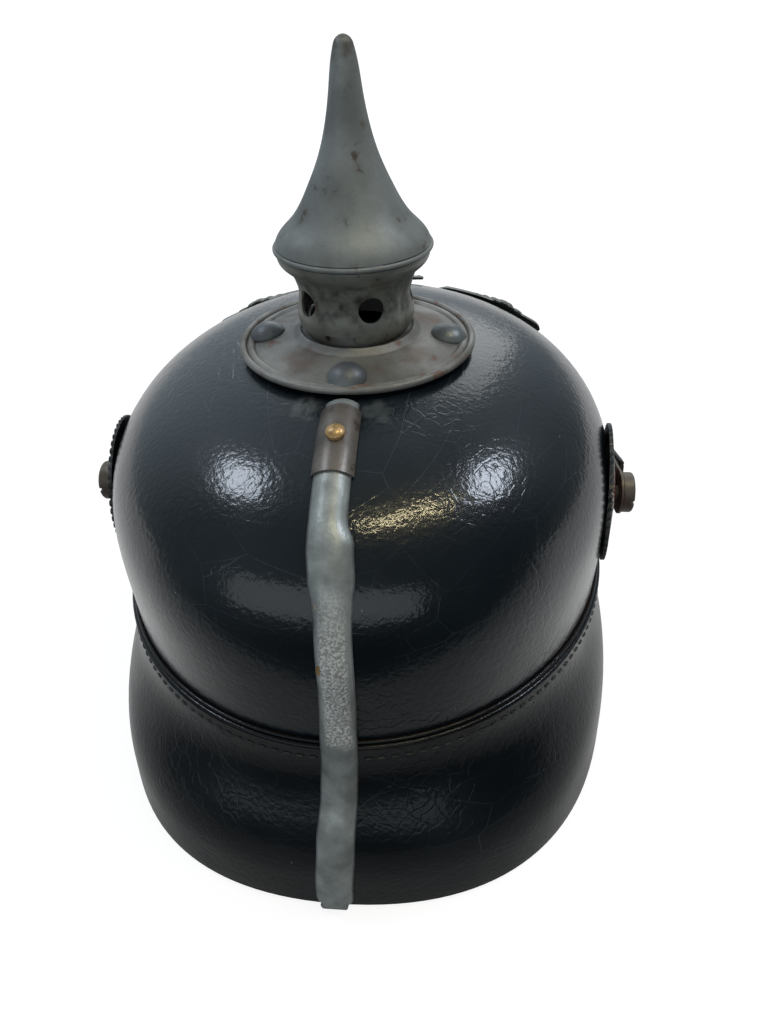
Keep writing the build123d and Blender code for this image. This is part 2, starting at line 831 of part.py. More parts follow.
# Vent slide: a sleeve over the spine, and its brass knob with a stem through both
slide_rise = spine_rise + slide_play + slide_sheet
slide_half_width = spine_width / 2 + slide_play + slide_sheet
slide_first = slide_start - spine_start
slide_planes = [run_plane(slide_first + slide_length * share) for share in (0, 0.5, 1)]
with BuildLine() as slide_path:
    ThreePointArc(*[plane.origin for plane in slide_planes])
slide_wire = slide_path.wire()
knob_plane = run_plane(slide_middle)
with BuildPart() as vent_slide:
    with BuildSketch(Plane(origin=slide_wire @ 0, x_dir=(-1, 0, 0), z_dir=slide_wire % 0)):
        with BuildLine():
            arch_outline(slide_half_width, slide_rise, slide_sheet, slide_play / 2)
        make_face()
    sweep(path=slide_wire)
    with Locations(knob_plane.offset(slide_rise).location):
        Cylinder(knob_stem + hole_gap, slide_rise, mode=Mode.SUBTRACT)
vent_slide.part.label = "vent_slide"
export_step(vent_slide.part, "parts/vent_slide.step")
with BuildPart() as knob:
    with BuildSketch(Plane.XZ):
        with BuildLine():
            foot_line = Polyline(
                (0, -slide_sheet - slide_play - knob_stem),
                (knob_stem, -slide_sheet - slide_play - knob_stem),
                (knob_stem, knob_seat),
                (knob_radius, knob_seat),
                (knob_radius, knob_rise / 2),
            )
            ThreePointArc(foot_line @ 1, cap_middle(knob_radius, knob_rise / 2, knob_rise), (0, knob_rise))
            Line((0, knob_rise), foot_line @ 0)
        make_face()
    revolve(axis=Axis.Z)
vent_knob = knob.part.moved(knob_plane.offset(slide_rise).location)
vent_knob.label = "vent_knob"
export_step(vent_knob, "parts/vent_knob.step")

# Pins under the spine, through the leather, with washers inside
pins, pin_washers = [], []
for plane in pin_planes:
    washer_top = depth_to_dome(plane, -leather) + spine_washer_radius * lean_share
    foot = washer_top + stud_washer + spine_pin_radius
    with BuildPart() as pin:
        with Locations(plane.offset((spine_pin_head_rise - foot) / 2).location):
            Cylinder(spine_pin_radius, foot + spine_pin_head_rise)
        with Locations(plane.offset(spine_pin_head_rise / 2 + hole_gap).location):
            Cylinder(spine_pin_head, spine_pin_head_rise - hole_gap)
    pins.append(pin.part)
    with BuildPart() as washer:
        with Locations(plane.offset(-washer_top - stud_washer / 2).location):
            Cylinder(spine_washer_radius, stud_washer)
            Cylinder(spine_pin_radius + hole_gap, 2 * stud_washer, mode=Mode.SUBTRACT)
    pin_washers.append(washer.part)
with BuildPart() as spine_pins:
    add(pins)
spine_pins.part.label = "spine_pins"
export_step(spine_pins.part, "parts/spine_pins.step")
with BuildPart() as spine_pin_washers:
    add(pin_washers)
spine_pin_washers.part.label = "spine_pin_washers"
export_step(spine_pin_washers.part, "parts/spine_pin_washers.step")

# Cockades: dished, fluted discs with a toothed edge, made flat and set on each side, leaning with the skull
hub_top = cockade_dish + cockade_sheet
flute_slope = math.atan2(cockade_dish, cockade_radius - cockade_hub_radius)
tooth_points = []
for tooth in range(2 * cockade_flutes):
    reach = cockade_radius - (tooth % 2) * cockade_flute_depth
    angle = math.pi * tooth / cockade_flutes
    tooth_points.append((reach * math.cos(angle), reach * math.sin(angle)))
flute_middle = (cockade_radius + cockade_hub_radius) / 2
flute_place = Location((flute_middle, 0, cockade_dish / 2 + cockade_sheet), (0, math.degrees(flute_slope), 0))
flute_section = 2 * cockade_flute_depth
with BuildPart() as flute:
    Box(cockade_radius - cockade_hub_radius, flute_section, flute_section, rotation=(45, 0, 0))
flute_cuts = [
    flute.part.moved(Location((0, 0, 0), (0, 0, 360 * (turn + 0.5) / cockade_flutes)) * flute_place)
    for turn in range(cockade_flutes)
]
with BuildPart() as cockade:
    with BuildSketch(Plane.XZ):
        with BuildLine():
            Polyline(
                (post_radius + cockade_hole_gap, cockade_dish),
                (cockade_hub_radius, cockade_dish),
                (cockade_radius, 0),
                (cockade_radius, cockade_sheet),
                (cockade_hub_radius, hub_top),
                (post_radius + cockade_hole_gap, hub_top),
                close=True,
            )
        make_face()
    revolve(axis=Axis.Z)
    with BuildSketch():
        with BuildLine():
            Polyline(*tooth_points, close=True)
        make_face()
    extrude(amount=overrun, mode=Mode.INTERSECT)
    add(flute_cuts, mode=Mode.SUBTRACT)

# Side posts: slotted heads outside, nuts inside
head_seat = strap_plate_seat + strap_end_sheet + seat_gap
nut_far = post_reach - skull_centre + post_nut_radius
skull_side = skull_half_width * math.sqrt(1 - (nut_far / skull_half_length) ** 2)
nut_seat = skull_side - leather - cockade_seat - seat_gap
post_end = nut_seat - post_nut - post_tail
with BuildPart() as post:
    with BuildSketch(Plane.XZ):
        with BuildLine():
            Polyline(
                (0, post_end),
                (post_radius, post_end),
                (post_radius, head_seat),
                (post_head_radius, head_seat),
                (post_head_radius, head_seat + post_head),
                (0, head_seat + post_head),
                close=True,
            )
        head_face = make_face()
        fillet(head_face.vertices().group_by(Axis.Y)[-1].sort_by(Axis.X)[-1], radius=post_head / 4)
    revolve(axis=Axis.Z)
    with Locations((0, 0, head_seat + post_head)):
        Box(3 * post_head_radius, post_slot_width, 2 * post_slot_depth, mode=Mode.SUBTRACT)
with BuildPart() as post_nut_block:
    with Locations((0, 0, nut_seat - post_nut / 2)):
        Cylinder(post_nut_radius, post_nut)
        Cylinder(post_radius + hole_gap, 2 * post_nut, mode=Mode.SUBTRACT)
side_names = {1: "left", -1: "right"}
for side, side_name in side_names.items():
    seat_place = (side * cockade_seat, post_reach, post_height)
    side_plane = Plane(origin=seat_place, x_dir=(0, -1, 0), z_dir=(side, 0, 0))
    turn, tip = math.radians(cockade_turn), math.radians(cockade_tip)
    facing = (side * math.cos(turn) * math.cos(tip), math.sin(turn) * math.cos(tip), math.sin(tip))
    leaning_plane = Plane(origin=seat_place, x_dir=(0, -1, 0), z_dir=facing)
    placements = (
        (cockade, "cockade", leaning_plane),
        (post, "post", side_plane),
        (post_nut_block, "post_nut", side_plane),
    )
    for shape, name, seat_plane in placements:
        placed = shape.part.moved(seat_plane.location)
        placed.label = f"{side_name}_{name}"
        export_step(placed, f"parts/{side_name}_{name}.step")

# Chinstrap: each half runs forward from its post and laps over the other at the front.
# Sizes across and forward are in the strap's own plane, through both posts and tilted down to the front.
lean = math.radians(strap_tilt)
strap_plane = Plane(
    origin=(0, post_reach, post_height), x_dir=(1, 0, 0), z_dir=(0, math.sin(lean), -math.cos(lean))
)
strap_side = cockade_seat + strap_plate_seat + strap_end_sheet + strap_inner_gap
layer = strap_sheet + strap_layer_gap


def strap_arcs(extra):
    """Radius and centre of the side arc, centre of the front arc, and the angle where they meet."""
    front_radius = strap_front_radius + extra
    front_centre = strap_reach - strap_front_radius
    side_radius = (strap_side**2 + front_centre**2 - front_radius**2) / (2 * (strap_side - front_radius))
    meet = math.degrees(math.atan2(front_centre, side_radius - strap_side))
    return side_radius, strap_side - side_radius, front_centre, meet


def strap_band(extra, wall):
    """Draw the closed outline of one strap half, lying outside the other by an extra."""
    side_radius, side_centre, front_centre, meet = strap_arcs(extra)
    start = math.degrees(math.asin(strap_leather_start / side_radius))
    lap = 90 + math.degrees(strap_overlap / strap_front_radius)
    ends = []
    for grow in (0, wall):
        first = CenterArc((side_centre, 0), side_radius + grow, start, meet - start)
        second = CenterArc((0, front_centre), strap_front_radius + extra + grow, meet, lap - meet)
        ends.append((first @ 0, second @ 1))
    Line(ends[0][0], ends[1][0])
    Line(ends[0][1], ends[1][1])


rivet_places = [(rivet_place, rivet_rise), (rivet_place, -rivet_rise)]
plate_inner = cockade_seat + strap_plate_seat
rivet_pieces = []
for side, side_name in side_names.items():
    extra = 0 if side == 1 else layer
    with BuildPart() as half:
        with BuildSketch(strap_plane):
            with BuildLine():
                strap_band(extra, strap_sheet)
            make_face()
        extrude(amount=strap_height / 2, both=True)
        for along, up in rivet_places:
            with Locations(strap_plane.location * Location((strap_side, along, up), (0, 90, 0))):
                Cylinder(rivet_radius + hole_gap, overrun / 2, mode=Mode.SUBTRACT)
    with BuildPart() as end_plate:
        with BuildSketch(Plane.YZ):
            with Locations((-(strap_end_length - strap_height / 2) / 2, 0)):
                SlotOverall(strap_end_length + strap_height / 2, strap_height)
            Circle(post_radius + hole_gap, mode=Mode.SUBTRACT)
            with Locations(*[(-along, up) for along, up in rivet_places]):
                Circle(rivet_radius + hole_gap, mode=Mode.SUBTRACT)
        extrude(amount=strap_end_sheet)
    turned = Location((0, post_reach, post_height), (strap_tilt, 0, 0)) * Location((plate_inner, 0, 0))
    strap_rivets = []
    side_radius = strap_arcs(extra)[0]
    strap_drop = side_radius - math.sqrt(side_radius**2 - rivet_place**2)
    leather_out = strap_side + strap_sheet - strap_drop - plate_inner + 2 * hole_gap
    for along, up in rivet_places:
        with BuildPart() as rivet:
            with BuildSketch(Plane.XZ):
                with BuildLine():
                    Polyline(
                        (0, -hole_gap - rivet_head / 2),
                        (rivet_foot_radius, -hole_gap - rivet_head / 2),
                        (rivet_foot_radius, -hole_gap / 2),
                        (rivet_radius, -hole_gap / 2),
                        (rivet_radius, leather_out),
                        (rivet_head_radius, leather_out),
                        (rivet_head_radius, leather_out + rivet_head / 3),
                        (0, leather_out + rivet_head),
                        close=True,
                    )
                make_face()
            revolve(axis=Axis.Z)
        strap_rivets.append(rivet.part.moved(turned * Location((0, -along, up), (0, 90, 0))))
    pieces = {"strap": half.part, "strap_end": end_plate.part.moved(turned)}
    if side == -1:
        pieces = {name: piece.mirror(Plane.YZ) for name, piece in pieces.items()}
        strap_rivets = [piece.mirror(Plane.YZ) for piece in strap_rivets]
    rivet_pieces.extend(strap_rivets)
    for name, piece in pieces.items():
        piece.label = f"{side_name}_{name}"
        export_step(piece, f"parts/{side_name}_{name}.step")
with BuildPart() as strap_rivet_group:
    add(rivet_pieces)
strap_rivet_group.part.label = "strap_rivets"
export_step(strap_rivet_group.part, "parts/strap_rivets.step")

# Sliding buckles: frames round both layers, bent to the strap's front arc
front_centre = strap_reach - strap_front_radius
buckle_half = math.degrees(buckle_width / 2 / strap_front_radius)


def ring_sector(inner, outer, middle, half):
    """Draw a closed piece of a ring about the front arc's centre."""
    far = CenterArc((0, front_centre), outer, middle - half, 2 * half)
    near = CenterArc((0, front_centre), inner, middle - half, 2 * half)
    Line(far @ 0, near @ 0)
    Line(far @ 1, near @ 1)


layers_inside = strap_front_radius - buckle_fit
layers_outside = strap_front_radius + layer + strap_sheet + buckle_fit
for side, side_name in side_names.items():
    middle = 90 - side * buckle_angle
    with BuildPart() as buckle:
        with BuildSketch(strap_plane):
            with BuildLine():
                ring_sector(layers_inside - buckle_frame, layers_outside + buckle_frame, middle, buckle_half)
            make_face()
        extrude(amount=strap_height / 2 + buckle_fit + buckle_frame, both=True)
        with BuildSketch(strap_plane):
            with BuildLine():
                ring_sector(layers_inside, layers_outside, middle, 2 * buckle_half)
            make_face()
        extrude(amount=strap_height / 2 + buckle_fit, both=True, mode=Mode.SUBTRACT)
    buckle.part.label = f"{side_name}_buckle"
    export_step(buckle.part, f"parts/{side_name}_buckle.step")


def bar(start, end, width):
    """Draw a bar with round ends from one place to another."""
    middle = ((start[0] + end[0]) / 2, (start[1] + end[1]) / 2)
    SlotCenterPoint(middle, end, width)


def eagle_outline(inset, length_share, ribs):
    """Draw the spread eagle, or its raised ribs, facing its own right."""
    feather_bar = rib_width if ribs else feather_width
    for side in (-1, 1):
        for index, length in enumerate(feather_lengths):
            share = index / (feather_count - 1)
            across = feather_first[0] + (feather_last[0] - feather_first[0]) * share
            up = feather_first[1] + (feather_last[1] - feather_first[1]) * share
            turn = math.radians(feather_turns[0] + (feather_turns[1] - feather_turns[0]) * share)
            reach = length * length_share
            tip = (side * (across + reach * math.cos(turn)), up + reach * math.sin(turn))
            bar((side * across, up), tip, feather_bar)
        for first, last in ((shoulder_place, elbow_place), (elbow_place, wrist_place)):
            bar((side * first[0], first[1]), (side * last[0], last[1]), arm_width - 2 * inset)
        bar((side * leg_start[0], leg_start[1]), (side * leg_end[0], leg_end[1]), leg_width - inset)
        for turn in claw_turns:
            angle = math.radians(turn)
            claw_across = side * (leg_end[0] + claw_length * math.cos(angle))
            claw_up = leg_end[1] + claw_length * math.sin(angle)
            bar((side * leg_end[0], leg_end[1]), (claw_across, claw_up), claw_width - inset / 2)
        if not ribs:
            ribbon_tip = (side * ribbon_end[0], ribbon_end[1])
            bar((side * ribbon_start[0], ribbon_start[1]), ribbon_tip, ribbon_width)
    for index in range(tail_count):
        angle = math.radians(-90 - tail_fan / 2 + tail_fan * index / (tail_count - 1))
        reach = tail_length * length_share
        tail_tip = (tail_place[0] + reach * math.cos(angle), tail_place[1] + reach * math.sin(angle))
        bar(tail_place, tail_tip, feather_bar)
    with Locations(body_place):
        Ellipse(body_size[0] - inset, body_size[1] - inset)
    with Locations(head_place):
        Circle(head_radius - inset)
        Ellipse(head_radius + beak_length - inset, head_radius / 3)
    bar(head_place, body_place, 2 * (head_radius - inset))
    with Locations(crown_place):
        Rectangle(crown_size[0] - inset, crown_size[1] - inset)
        with Locations(*[(crown_size[0] / 2 * turn, crown_size[1] / 2) for turn in (-1, 0, 1)]):
            Circle(crown_bead)


# Eagle plate: the figure cut from a shell that follows the dome, with its body and ribs raised
def plate_layer(inset, length_share, ribs, low, high):
    """The eagle's figure cut from the shell between two growths of the dome."""
    high_form = dome_form(high)
    low_form = dome_form(low)
    with BuildPart() as layer_piece:
        with BuildSketch(Plane.XZ.offset(overrun)):
            eagle_outline(inset, length_share, ribs)
        extrude(amount=front_visor_reach - overrun)
        add(high_form, mode=Mode.INTERSECT)
        add(low_form, mode=Mode.SUBTRACT)
    return layer_piece.part


plate_back = plate_layer(0, 1, False, plate_gap, plate_gap + plate_sheet)
plate_front = plate_layer(
    plate_sheet, rib_length_share, True, plate_gap + plate_sheet / 2, plate_gap + plate_sheet + plate_relief
)
with BuildPart() as eagle_plate:
    add(plate_back)
    add(plate_front)
eagle_plate.part.label = "eagle_plate"
export_step(eagle_plate.part, "parts/eagle_plate.step")

# Loops behind the plate pass through the leather, and pegs lock them inside
loops, pegs = [], []
for side in (-1, 1):
    place, direction = plate_normal(side)
    loop_plane = Plane(origin=place, x_dir=direction, z_dir=(0, 0, 1))
    with BuildPart() as loop:
        with BuildSketch(loop_plane):
            with Locations((plate_gap - soft_gap - loop_length / 2, 0)):
                SlotOverall(loop_length, loop_width)
                SlotOverall(loop_length - 2 * loop_wire, loop_width - 2 * loop_wire, mode=Mode.SUBTRACT)
        extrude(amount=loop_wire / 2, both=True)
    loops.append(loop.part)
    peg_place = loop_plane.location * Location((-leather - peg_gap - peg_sheet / 2, 0, -peg_drop))
    with BuildPart() as peg:
        with Locations(peg_place):
            Box(peg_sheet, loop_width - 2 * loop_wire - 2 * hole_gap, peg_length)
    pegs.append(peg.part)
with BuildPart() as plate_loops:
    add(loops)
plate_loops.part.label = "plate_loops"
export_step(plate_loops.part, "parts/plate_loops.step")
with BuildPart() as plate_pegs:
    add(pegs)
plate_pegs.part.label = "plate_pegs"
export_step(plate_pegs.part, "parts/plate_pegs.step")

# Sweatband inside the rim
band_outside = skull_half_width - leather - soft_gap
band_sections = [skull_low, (skull_low + skull_equator) / 2, skull_equator]
band_outer = oval_loft([(height, band_outside - side_draw(height)) for height in band_sections])
band_inner = oval_loft([(height, band_outside - band_sheet - side_draw(height)) for height in band_sections])
with BuildPart() as sweatband:
    add(band_outer)
    add(band_inner, mode=Mode.SUBTRACT)
    split(bisect_by=rim_plane.offset(band_low), keep=Keep.TOP)
    split(bisect_by=rim_plane.offset(band_low + band_height), keep=Keep.BOTTOM)
sweatband.part.label = "sweatband"
export_step(sweatband.part, "parts/sweatband.step")

# Liner tongues: leather fingers that rise to a cord, each with a hem round it
tongue_reach = band_outside - band_sheet - 2 * soft_gap
tongue_rise = tongue_top - tongue_low
hem_height = tongue_top - tongue_hem_radius
tongue_outer = oval_loft(
    [(tongue_low + tongue_rise * up, tongue_reach * across) for up, across in tongue_outline_shares]
)
tongue_inner = oval_loft(
    [
        (tongue_low + (tongue_rise - tongue_sheet) * up, tongue_reach * across - tongue_sheet)
        for up, across in tongue_outline_shares
    ]
)
hem_bore = cord_radius + soft_gap
with BuildPart() as hem:
    with BuildSketch(Plane.XZ):
        with Locations((cord_circle, hem_height)):
            Circle(tongue_hem_radius)
    revolve(axis=Axis.Z, revolution_arc=hem_angle)
with BuildPart() as hem_hole:
    with BuildSketch(Plane.XZ):
        with Locations((cord_circle, hem_height)):
            Circle(hem_bore)
    revolve(axis=Axis.Z)
slot_turns = [360 / tongue_count * index for index in range(tongue_count)]
hem_turns = [turn + 180 / tongue_count - hem_angle / 2 for turn in slot_turns]
with BuildPart() as liner_tongues:
    add(tongue_outer)
    add(tongue_inner, mode=Mode.SUBTRACT)
    with Locations((0, 0, tongue_top)):
        Cylinder(cord_circle, overrun, mode=Mode.SUBTRACT)
    with Locations(*[Location((0, 0, tongue_top), (0, 0, turn)) for turn in slot_turns]):
        Box(
            2 * skull_half_length,
            tongue_slot,
            4 * tongue_rise,
            align=(Align.MIN, Align.CENTER, Align.CENTER),
            mode=Mode.SUBTRACT,
        )
    add([hem.part.rotate(Axis.Z, turn) for turn in hem_turns])
    add(hem_hole.part, mode=Mode.SUBTRACT)
liner_tongues.part.label = "liner_tongues"
export_step(liner_tongues.part, "parts/liner_tongues.step")

# Cord that draws the tongues together
with BuildPart() as liner_cord:
    with BuildSketch(Plane.XZ):
        with Locations((cord_circle, hem_height)):
            Circle(cord_radius)
    revolve(axis=Axis.Z)
liner_cord.part.label = "liner_cord"
export_step(liner_cord.part, "parts/liner_cord.step")
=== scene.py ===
# %% [markdown]
# # A spiked leather helmet
# The helmet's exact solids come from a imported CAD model. This notebook loads them as a fixed frame, and
# then adds what a camera sees: patent leather, worn steel, stitches, an embossed eagle, and the liner.
# Everything is in metres, with +Z up along the spike and +Y to the rear. Sizes are written in millimetres.

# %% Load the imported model
import math

import bmesh
import bpy
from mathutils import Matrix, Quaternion, Vector
from mathutils.bvhtree import BVHTree


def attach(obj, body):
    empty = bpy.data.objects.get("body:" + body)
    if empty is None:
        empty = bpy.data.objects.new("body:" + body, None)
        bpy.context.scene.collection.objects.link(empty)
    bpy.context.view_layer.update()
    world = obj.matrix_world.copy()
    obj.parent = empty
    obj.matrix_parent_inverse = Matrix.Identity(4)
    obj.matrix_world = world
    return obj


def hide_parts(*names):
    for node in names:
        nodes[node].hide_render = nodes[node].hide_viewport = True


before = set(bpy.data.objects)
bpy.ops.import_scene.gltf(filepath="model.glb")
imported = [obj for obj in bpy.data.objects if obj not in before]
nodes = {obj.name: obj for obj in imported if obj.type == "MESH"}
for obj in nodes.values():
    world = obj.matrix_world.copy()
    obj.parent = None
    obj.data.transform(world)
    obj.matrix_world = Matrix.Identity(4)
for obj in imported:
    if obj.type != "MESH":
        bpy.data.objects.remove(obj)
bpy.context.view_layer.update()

mm = 0.001
print("CAD nodes:", len(nodes))

# %% [markdown]
# ## Camera
# The photo was taken from behind and above with a phone's wide lens. A camera could be set by eye, but the
# base plate is round and its size is known, so the place, tilt, roll and lens were fitted to its oval, the
# spike and the shell's outline. The camera looks along minus its own Z axis, which here is called back.

# %% Camera
def add_object(name, data):
    """A new object at the origin, linked to the scene."""
    made = bpy.data.objects.new(name, data)
    bpy.context.scene.collection.objects.link(made)
    return made


camera_elevation = math.radians(36.79)
camera_azimuth = math.radians(5.7)
camera_roll = math.radians(-1.9)
camera_distance = 340.13
camera_target = Vector((-7.65, 0, 79.71))
photo_height = 1024
focal_pixels = 787.1

level_reach = math.cos(camera_elevation)
back_across, back_along = -math.sin(camera_azimuth) * level_reach, math.cos(camera_azimuth) * level_reach
back = Vector((back_across, back_along, math.sin(camera_elevation)))
level_right = (-back).cross(Vector((0, 0, 1))).normalized()
level_up = level_right.cross(-back)
right = math.cos(camera_roll) * level_right + math.sin(camera_roll) * level_up
up = -math.sin(camera_roll) * level_right + math.cos(camera_roll) * level_up

camera_data = bpy.data.cameras.new("photo_camera")
camera_data.sensor_fit = "VERTICAL"
camera_data.sensor_height = 36
camera_data.lens = focal_pixels / photo_height * camera_data.sensor_height
camera_data.clip_start = 0.01
camera = add_object("photo_camera", camera_data)
matrix = camera.matrix_world.copy()
for row in range(3):
    matrix[row][0], matrix[row][1], matrix[row][2] = right[row], up[row], back[row]
    matrix[row][3] = (camera_target[row] + camera_distance * back[row]) * mm
camera.matrix_world = matrix
bpy.context.scene.camera = camera
bpy.context.scene.view_settings.view_transform = "Standard"
print("lens", round(camera_data.lens, 2), "mm")

# %% [markdown]
# ## Helpers for colours and nodes
# Blender's shaders work in linear light, while colours are written as sRGB hex values, so one function
# turns them. Another one adds a node: its settings come first, because they can change its sockets.
# An input may be named or counted. A Map Range node's 1 and 2 are the levels it reads and 3 and 4 the ones
# it gives, and a colour Mix node's 6 and 7 are its two colours. Cloudy colour is wanted in most finishes, so
# the three nodes for it have one function.

# %% Colours and nodes
def colour(hex_value):
    """Linear colour of an sRGB hex value."""
    channels = [int(hex_value[place : place + 2], 16) / 255 for place in (1, 3, 5)]
    linear = [c / 12.92 if c <= 0.04045 else ((c + 0.055) / 1.055) ** 2.4 for c in channels]
    return (*linear, 1.0)


def feed(node, inputs):
    """Fill a node's inputs with values, with sockets, or with other nodes' first live outputs."""
    for name, value in inputs.items():
        if isinstance(value, bpy.types.Node):
            value = next(output for output in value.outputs if output.enabled)
        if isinstance(value, bpy.types.NodeSocket):
            node.id_data.links.new(value, node.inputs[name])
        else:
            node.inputs[name].default_value = value


def add_node(tree, kind, inputs=None, **settings):
    """Add a node, set its properties and feed its inputs."""
    made = tree.nodes.new(kind)
    for name, value in settings.items():
        setattr(made, name, value)
    feed(made, inputs or {})
    return made


def start_material(name, base, roughness, metallic=0.0):
    """A new material with its tree, its shader and its object coordinates."""
    material = bpy.data.materials.new(name)
    material.use_nodes = True
    tree = material.node_tree
    shader = tree.nodes["Principled BSDF"]
    feed(shader, {"Base Color": colour(base), "Roughness": roughness, "Metallic": metallic})
    return material, tree, shader, add_node(tree, "ShaderNodeTexCoord").outputs["Object"]


def per_mm(size):
    """Texture scale that gives a pattern of a size in millimetres, on coordinates in metres."""
    return 1000 / size


def add_clouds(tree, place, size, detail, low, high, under, over, most=1.0, roughness=0.5):
    """Noise of a size in millimetres, its cover between two levels, and a colour laid by it over another."""
    noise = add_node(
        tree,
        "ShaderNodeTexNoise",
        {"Vector": place, "Scale": per_mm(size), "Detail": detail, "Roughness": roughness},
    )
    cover = add_node(tree, "ShaderNodeMapRange", {0: noise, 1: low, 2: high, 4: most})
    mixed = add_node(tree, "ShaderNodeMix", {0: cover, 6: under, 7: over}, data_type="RGBA")
    return noise, cover, mixed


def add_patches(tree, place, under, patches):
    """Lay ragged patches over a colour: each has a place and radius in millimetres, a colour, a strength."""
    smear = add_node(tree, "ShaderNodeTexNoise", {"Vector": place, "Scale": per_mm(4), "Detail": 5})
    for x, y, z, radius, hex_value, strength in patches:
        centre = (x * mm, y * mm, z * mm)
        apart = add_node(tree, "ShaderNodeVectorMath", {0: place, 1: centre}, operation="DISTANCE")
        near = add_node(tree, "ShaderNodeMapRange", {0: apart, 1: radius * mm, 2: radius * mm / 4})
        ragged = add_node(tree, "ShaderNodeMath", {0: near, 1: smear}, operation="MULTIPLY")
        share = add_node(tree, "ShaderNodeMapRange", {0: ragged, 1: 0.28, 2: 0.5, 4: strength})
        under = add_node(tree, "ShaderNodeMix", {0: share, 6: under, 7: colour(hex_value)}, data_type="RGBA")
    return under


# %% [markdown]
# ## Floor, surroundings and lamps
# A plain pale floor, white where the camera sees it. A brighter lamp could whiten it too, but would bleach
# the helmet, so the floor glows for camera rays, glows more dimly in reflections, and keeps the shadow. Its
# glow in reflections is painted shade towards the rear, darker where the helmet's own shadow lies. The patent
# leather is nearly a mirror, so what stands round it matters: in the photo two soft windows shine on the
# crown, the room behind the camera is dark, the far side and the table are pale, and a warm strip of light
# hangs overhead.

# %% Floor
def make_floor():
    """A pale table that keeps the shadow and shows as white. It ends just behind the camera's view."""
    material, tree, shader, place = start_material("pale_paper_floor", "#808080", 0.9)
    path = add_node(tree, "ShaderNodeLightPath").outputs
    glossy, through = path["Is Glossy Ray"], path["Is Transmission Ray"]
    mirrored = add_node(tree, "ShaderNodeMath", {0: glossy, 1: through}, operation="MAXIMUM")
    toward_rear = add_node(tree, "ShaderNodeSeparateXYZ", {0: place}).outputs["Y"]
    # Painted shade: the glow seen in reflections drops from 0.6 in front to 0.08 near the rear, where the
    # helmet's shadow lies.
    reflected_painted_shade = add_node(tree, "ShaderNodeMapRange", {0: toward_rear, 1: 0.16, 2: 0.03, 3: 0.08, 4: 0.6})
    shown = add_node(
        tree, "ShaderNodeMath", {0: mirrored, 1: reflected_painted_shade, 2: path["Is Camera Ray"]}, operation="MULTIPLY_ADD"
    )
    paper = add_node(tree, "ShaderNodeMapRange", {0: toward_rear, 1: -0.3, 2: -1.0, 3: 0.88, 4: 1.0})
    seen = add_node(tree, "ShaderNodeMath", {0: shown, 1: paper}, operation="MULTIPLY")
    feed(shader, {"Specular IOR Level": 0.0, "Emission Color": (1, 1, 1, 1), "Emission Strength": seen})
    side, rear, below = 6.0, 0.2, 0.0004
    corners = [(-side, -side, -below), (side, -side, -below), (side, rear, -below), (-side, rear, -below)]
    data = bpy.data.meshes.new("floor")
    data.from_pydata(corners, [], [(0, 1, 2, 3)])
    data.materials.append(material)
    floor = add_object("floor", data)
    return floor


floor = make_floor()
print("the floor's nodes:", len(floor.data.materials[0].node_tree.nodes))

# %% Surroundings
world = bpy.data.worlds.new("plain_room")
bpy.context.scene.world = world
world.use_nodes = True
room = world.node_tree
way = add_node(room, "ShaderNodeTexCoord").outputs["Generated"]
ahead = add_node(room, "ShaderNodeSeparateXYZ", {0: way}).outputs
toward_front = add_node(room, "ShaderNodeMapRange", {0: ahead["Y"], 1: 0.0, 2: -0.8, 3: 0.22, 4: 0.6})
overhead = add_node(room, "ShaderNodeMapRange", {0: ahead["Z"], 1: -0.4, 2: 0.5, 3: 0.3, 4: 1.15})
sideways = add_node(room, "ShaderNodeMapRange", {0: ahead["X"], 1: -0.7, 2: 0.7, 3: 0.55, 4: 1.25})
level_share = add_node(room, "ShaderNodeMath", {0: toward_front, 1: overhead}, operation="MULTIPLY")
room_level = add_node(room, "ShaderNodeMath", {0: level_share, 1: sideways}, operation="MULTIPLY")
feed(room.nodes["Background"], {"Color": colour("#dff2ff"), "Strength": room_level})
print("the room's nodes:", len(room.nodes))


# %% Lamps
def add_lamp(name, place, aim, size, power, tint, roll=0.0):
    """A rectangular soft lamp at a place in millimetres, facing another place, turned about that line."""
    data = bpy.data.lights.new(name, "AREA")
    data.shape = "RECTANGLE"
    data.size, data.size_y = size[0] * mm, size[1] * mm
    data.energy = power
    data.color = colour(tint)[:3]
    lamp = add_object(name, data)
    lamp.location = Vector(place) * mm
    facing = (Vector(aim) - Vector(place)).to_track_quat("-Z", "Y")
    lamp.rotation_euler = (facing @ Quaternion((0, 0, 1), math.radians(roll))).to_euler()


add_lamp("left_window", (700, -190, 1110), (29, 75, 147), (300, 260), 3.3, "#e6f0ff")
add_lamp("right_window", (-770, -225, 1060), (-48, 68, 145), (340, 230), 4.4, "#e6f0ff")
add_lamp("warm_strip", (-330, 200, 1260), (-26, 86, 142), (620, 30), 3.2, "#fff0bf", -42.0)
add_lamp("front_fill", (0, -1500, 900), (0, 0, 100), (1200, 900), 5.0, "#ffffff")
add_lamp("rear_fill", (250, 1500, 560), (0, 0, 100), (2800, 900), 7.5, "#f4fbff")
print("lamps:", [lamp.name for lamp in bpy.data.lights])

# %% [markdown]
# ## Patent leather
# The shell is cowhide, moulded wet, then coated with black lacquer. The lacquer gives the eye a clear gloss
# over a softer sheen, a fine orange-peel surface, hair cracks where it has aged, scratches, and pale dust.
# Patterns follow the object's own coordinates, with scales from real sizes in millimetres.

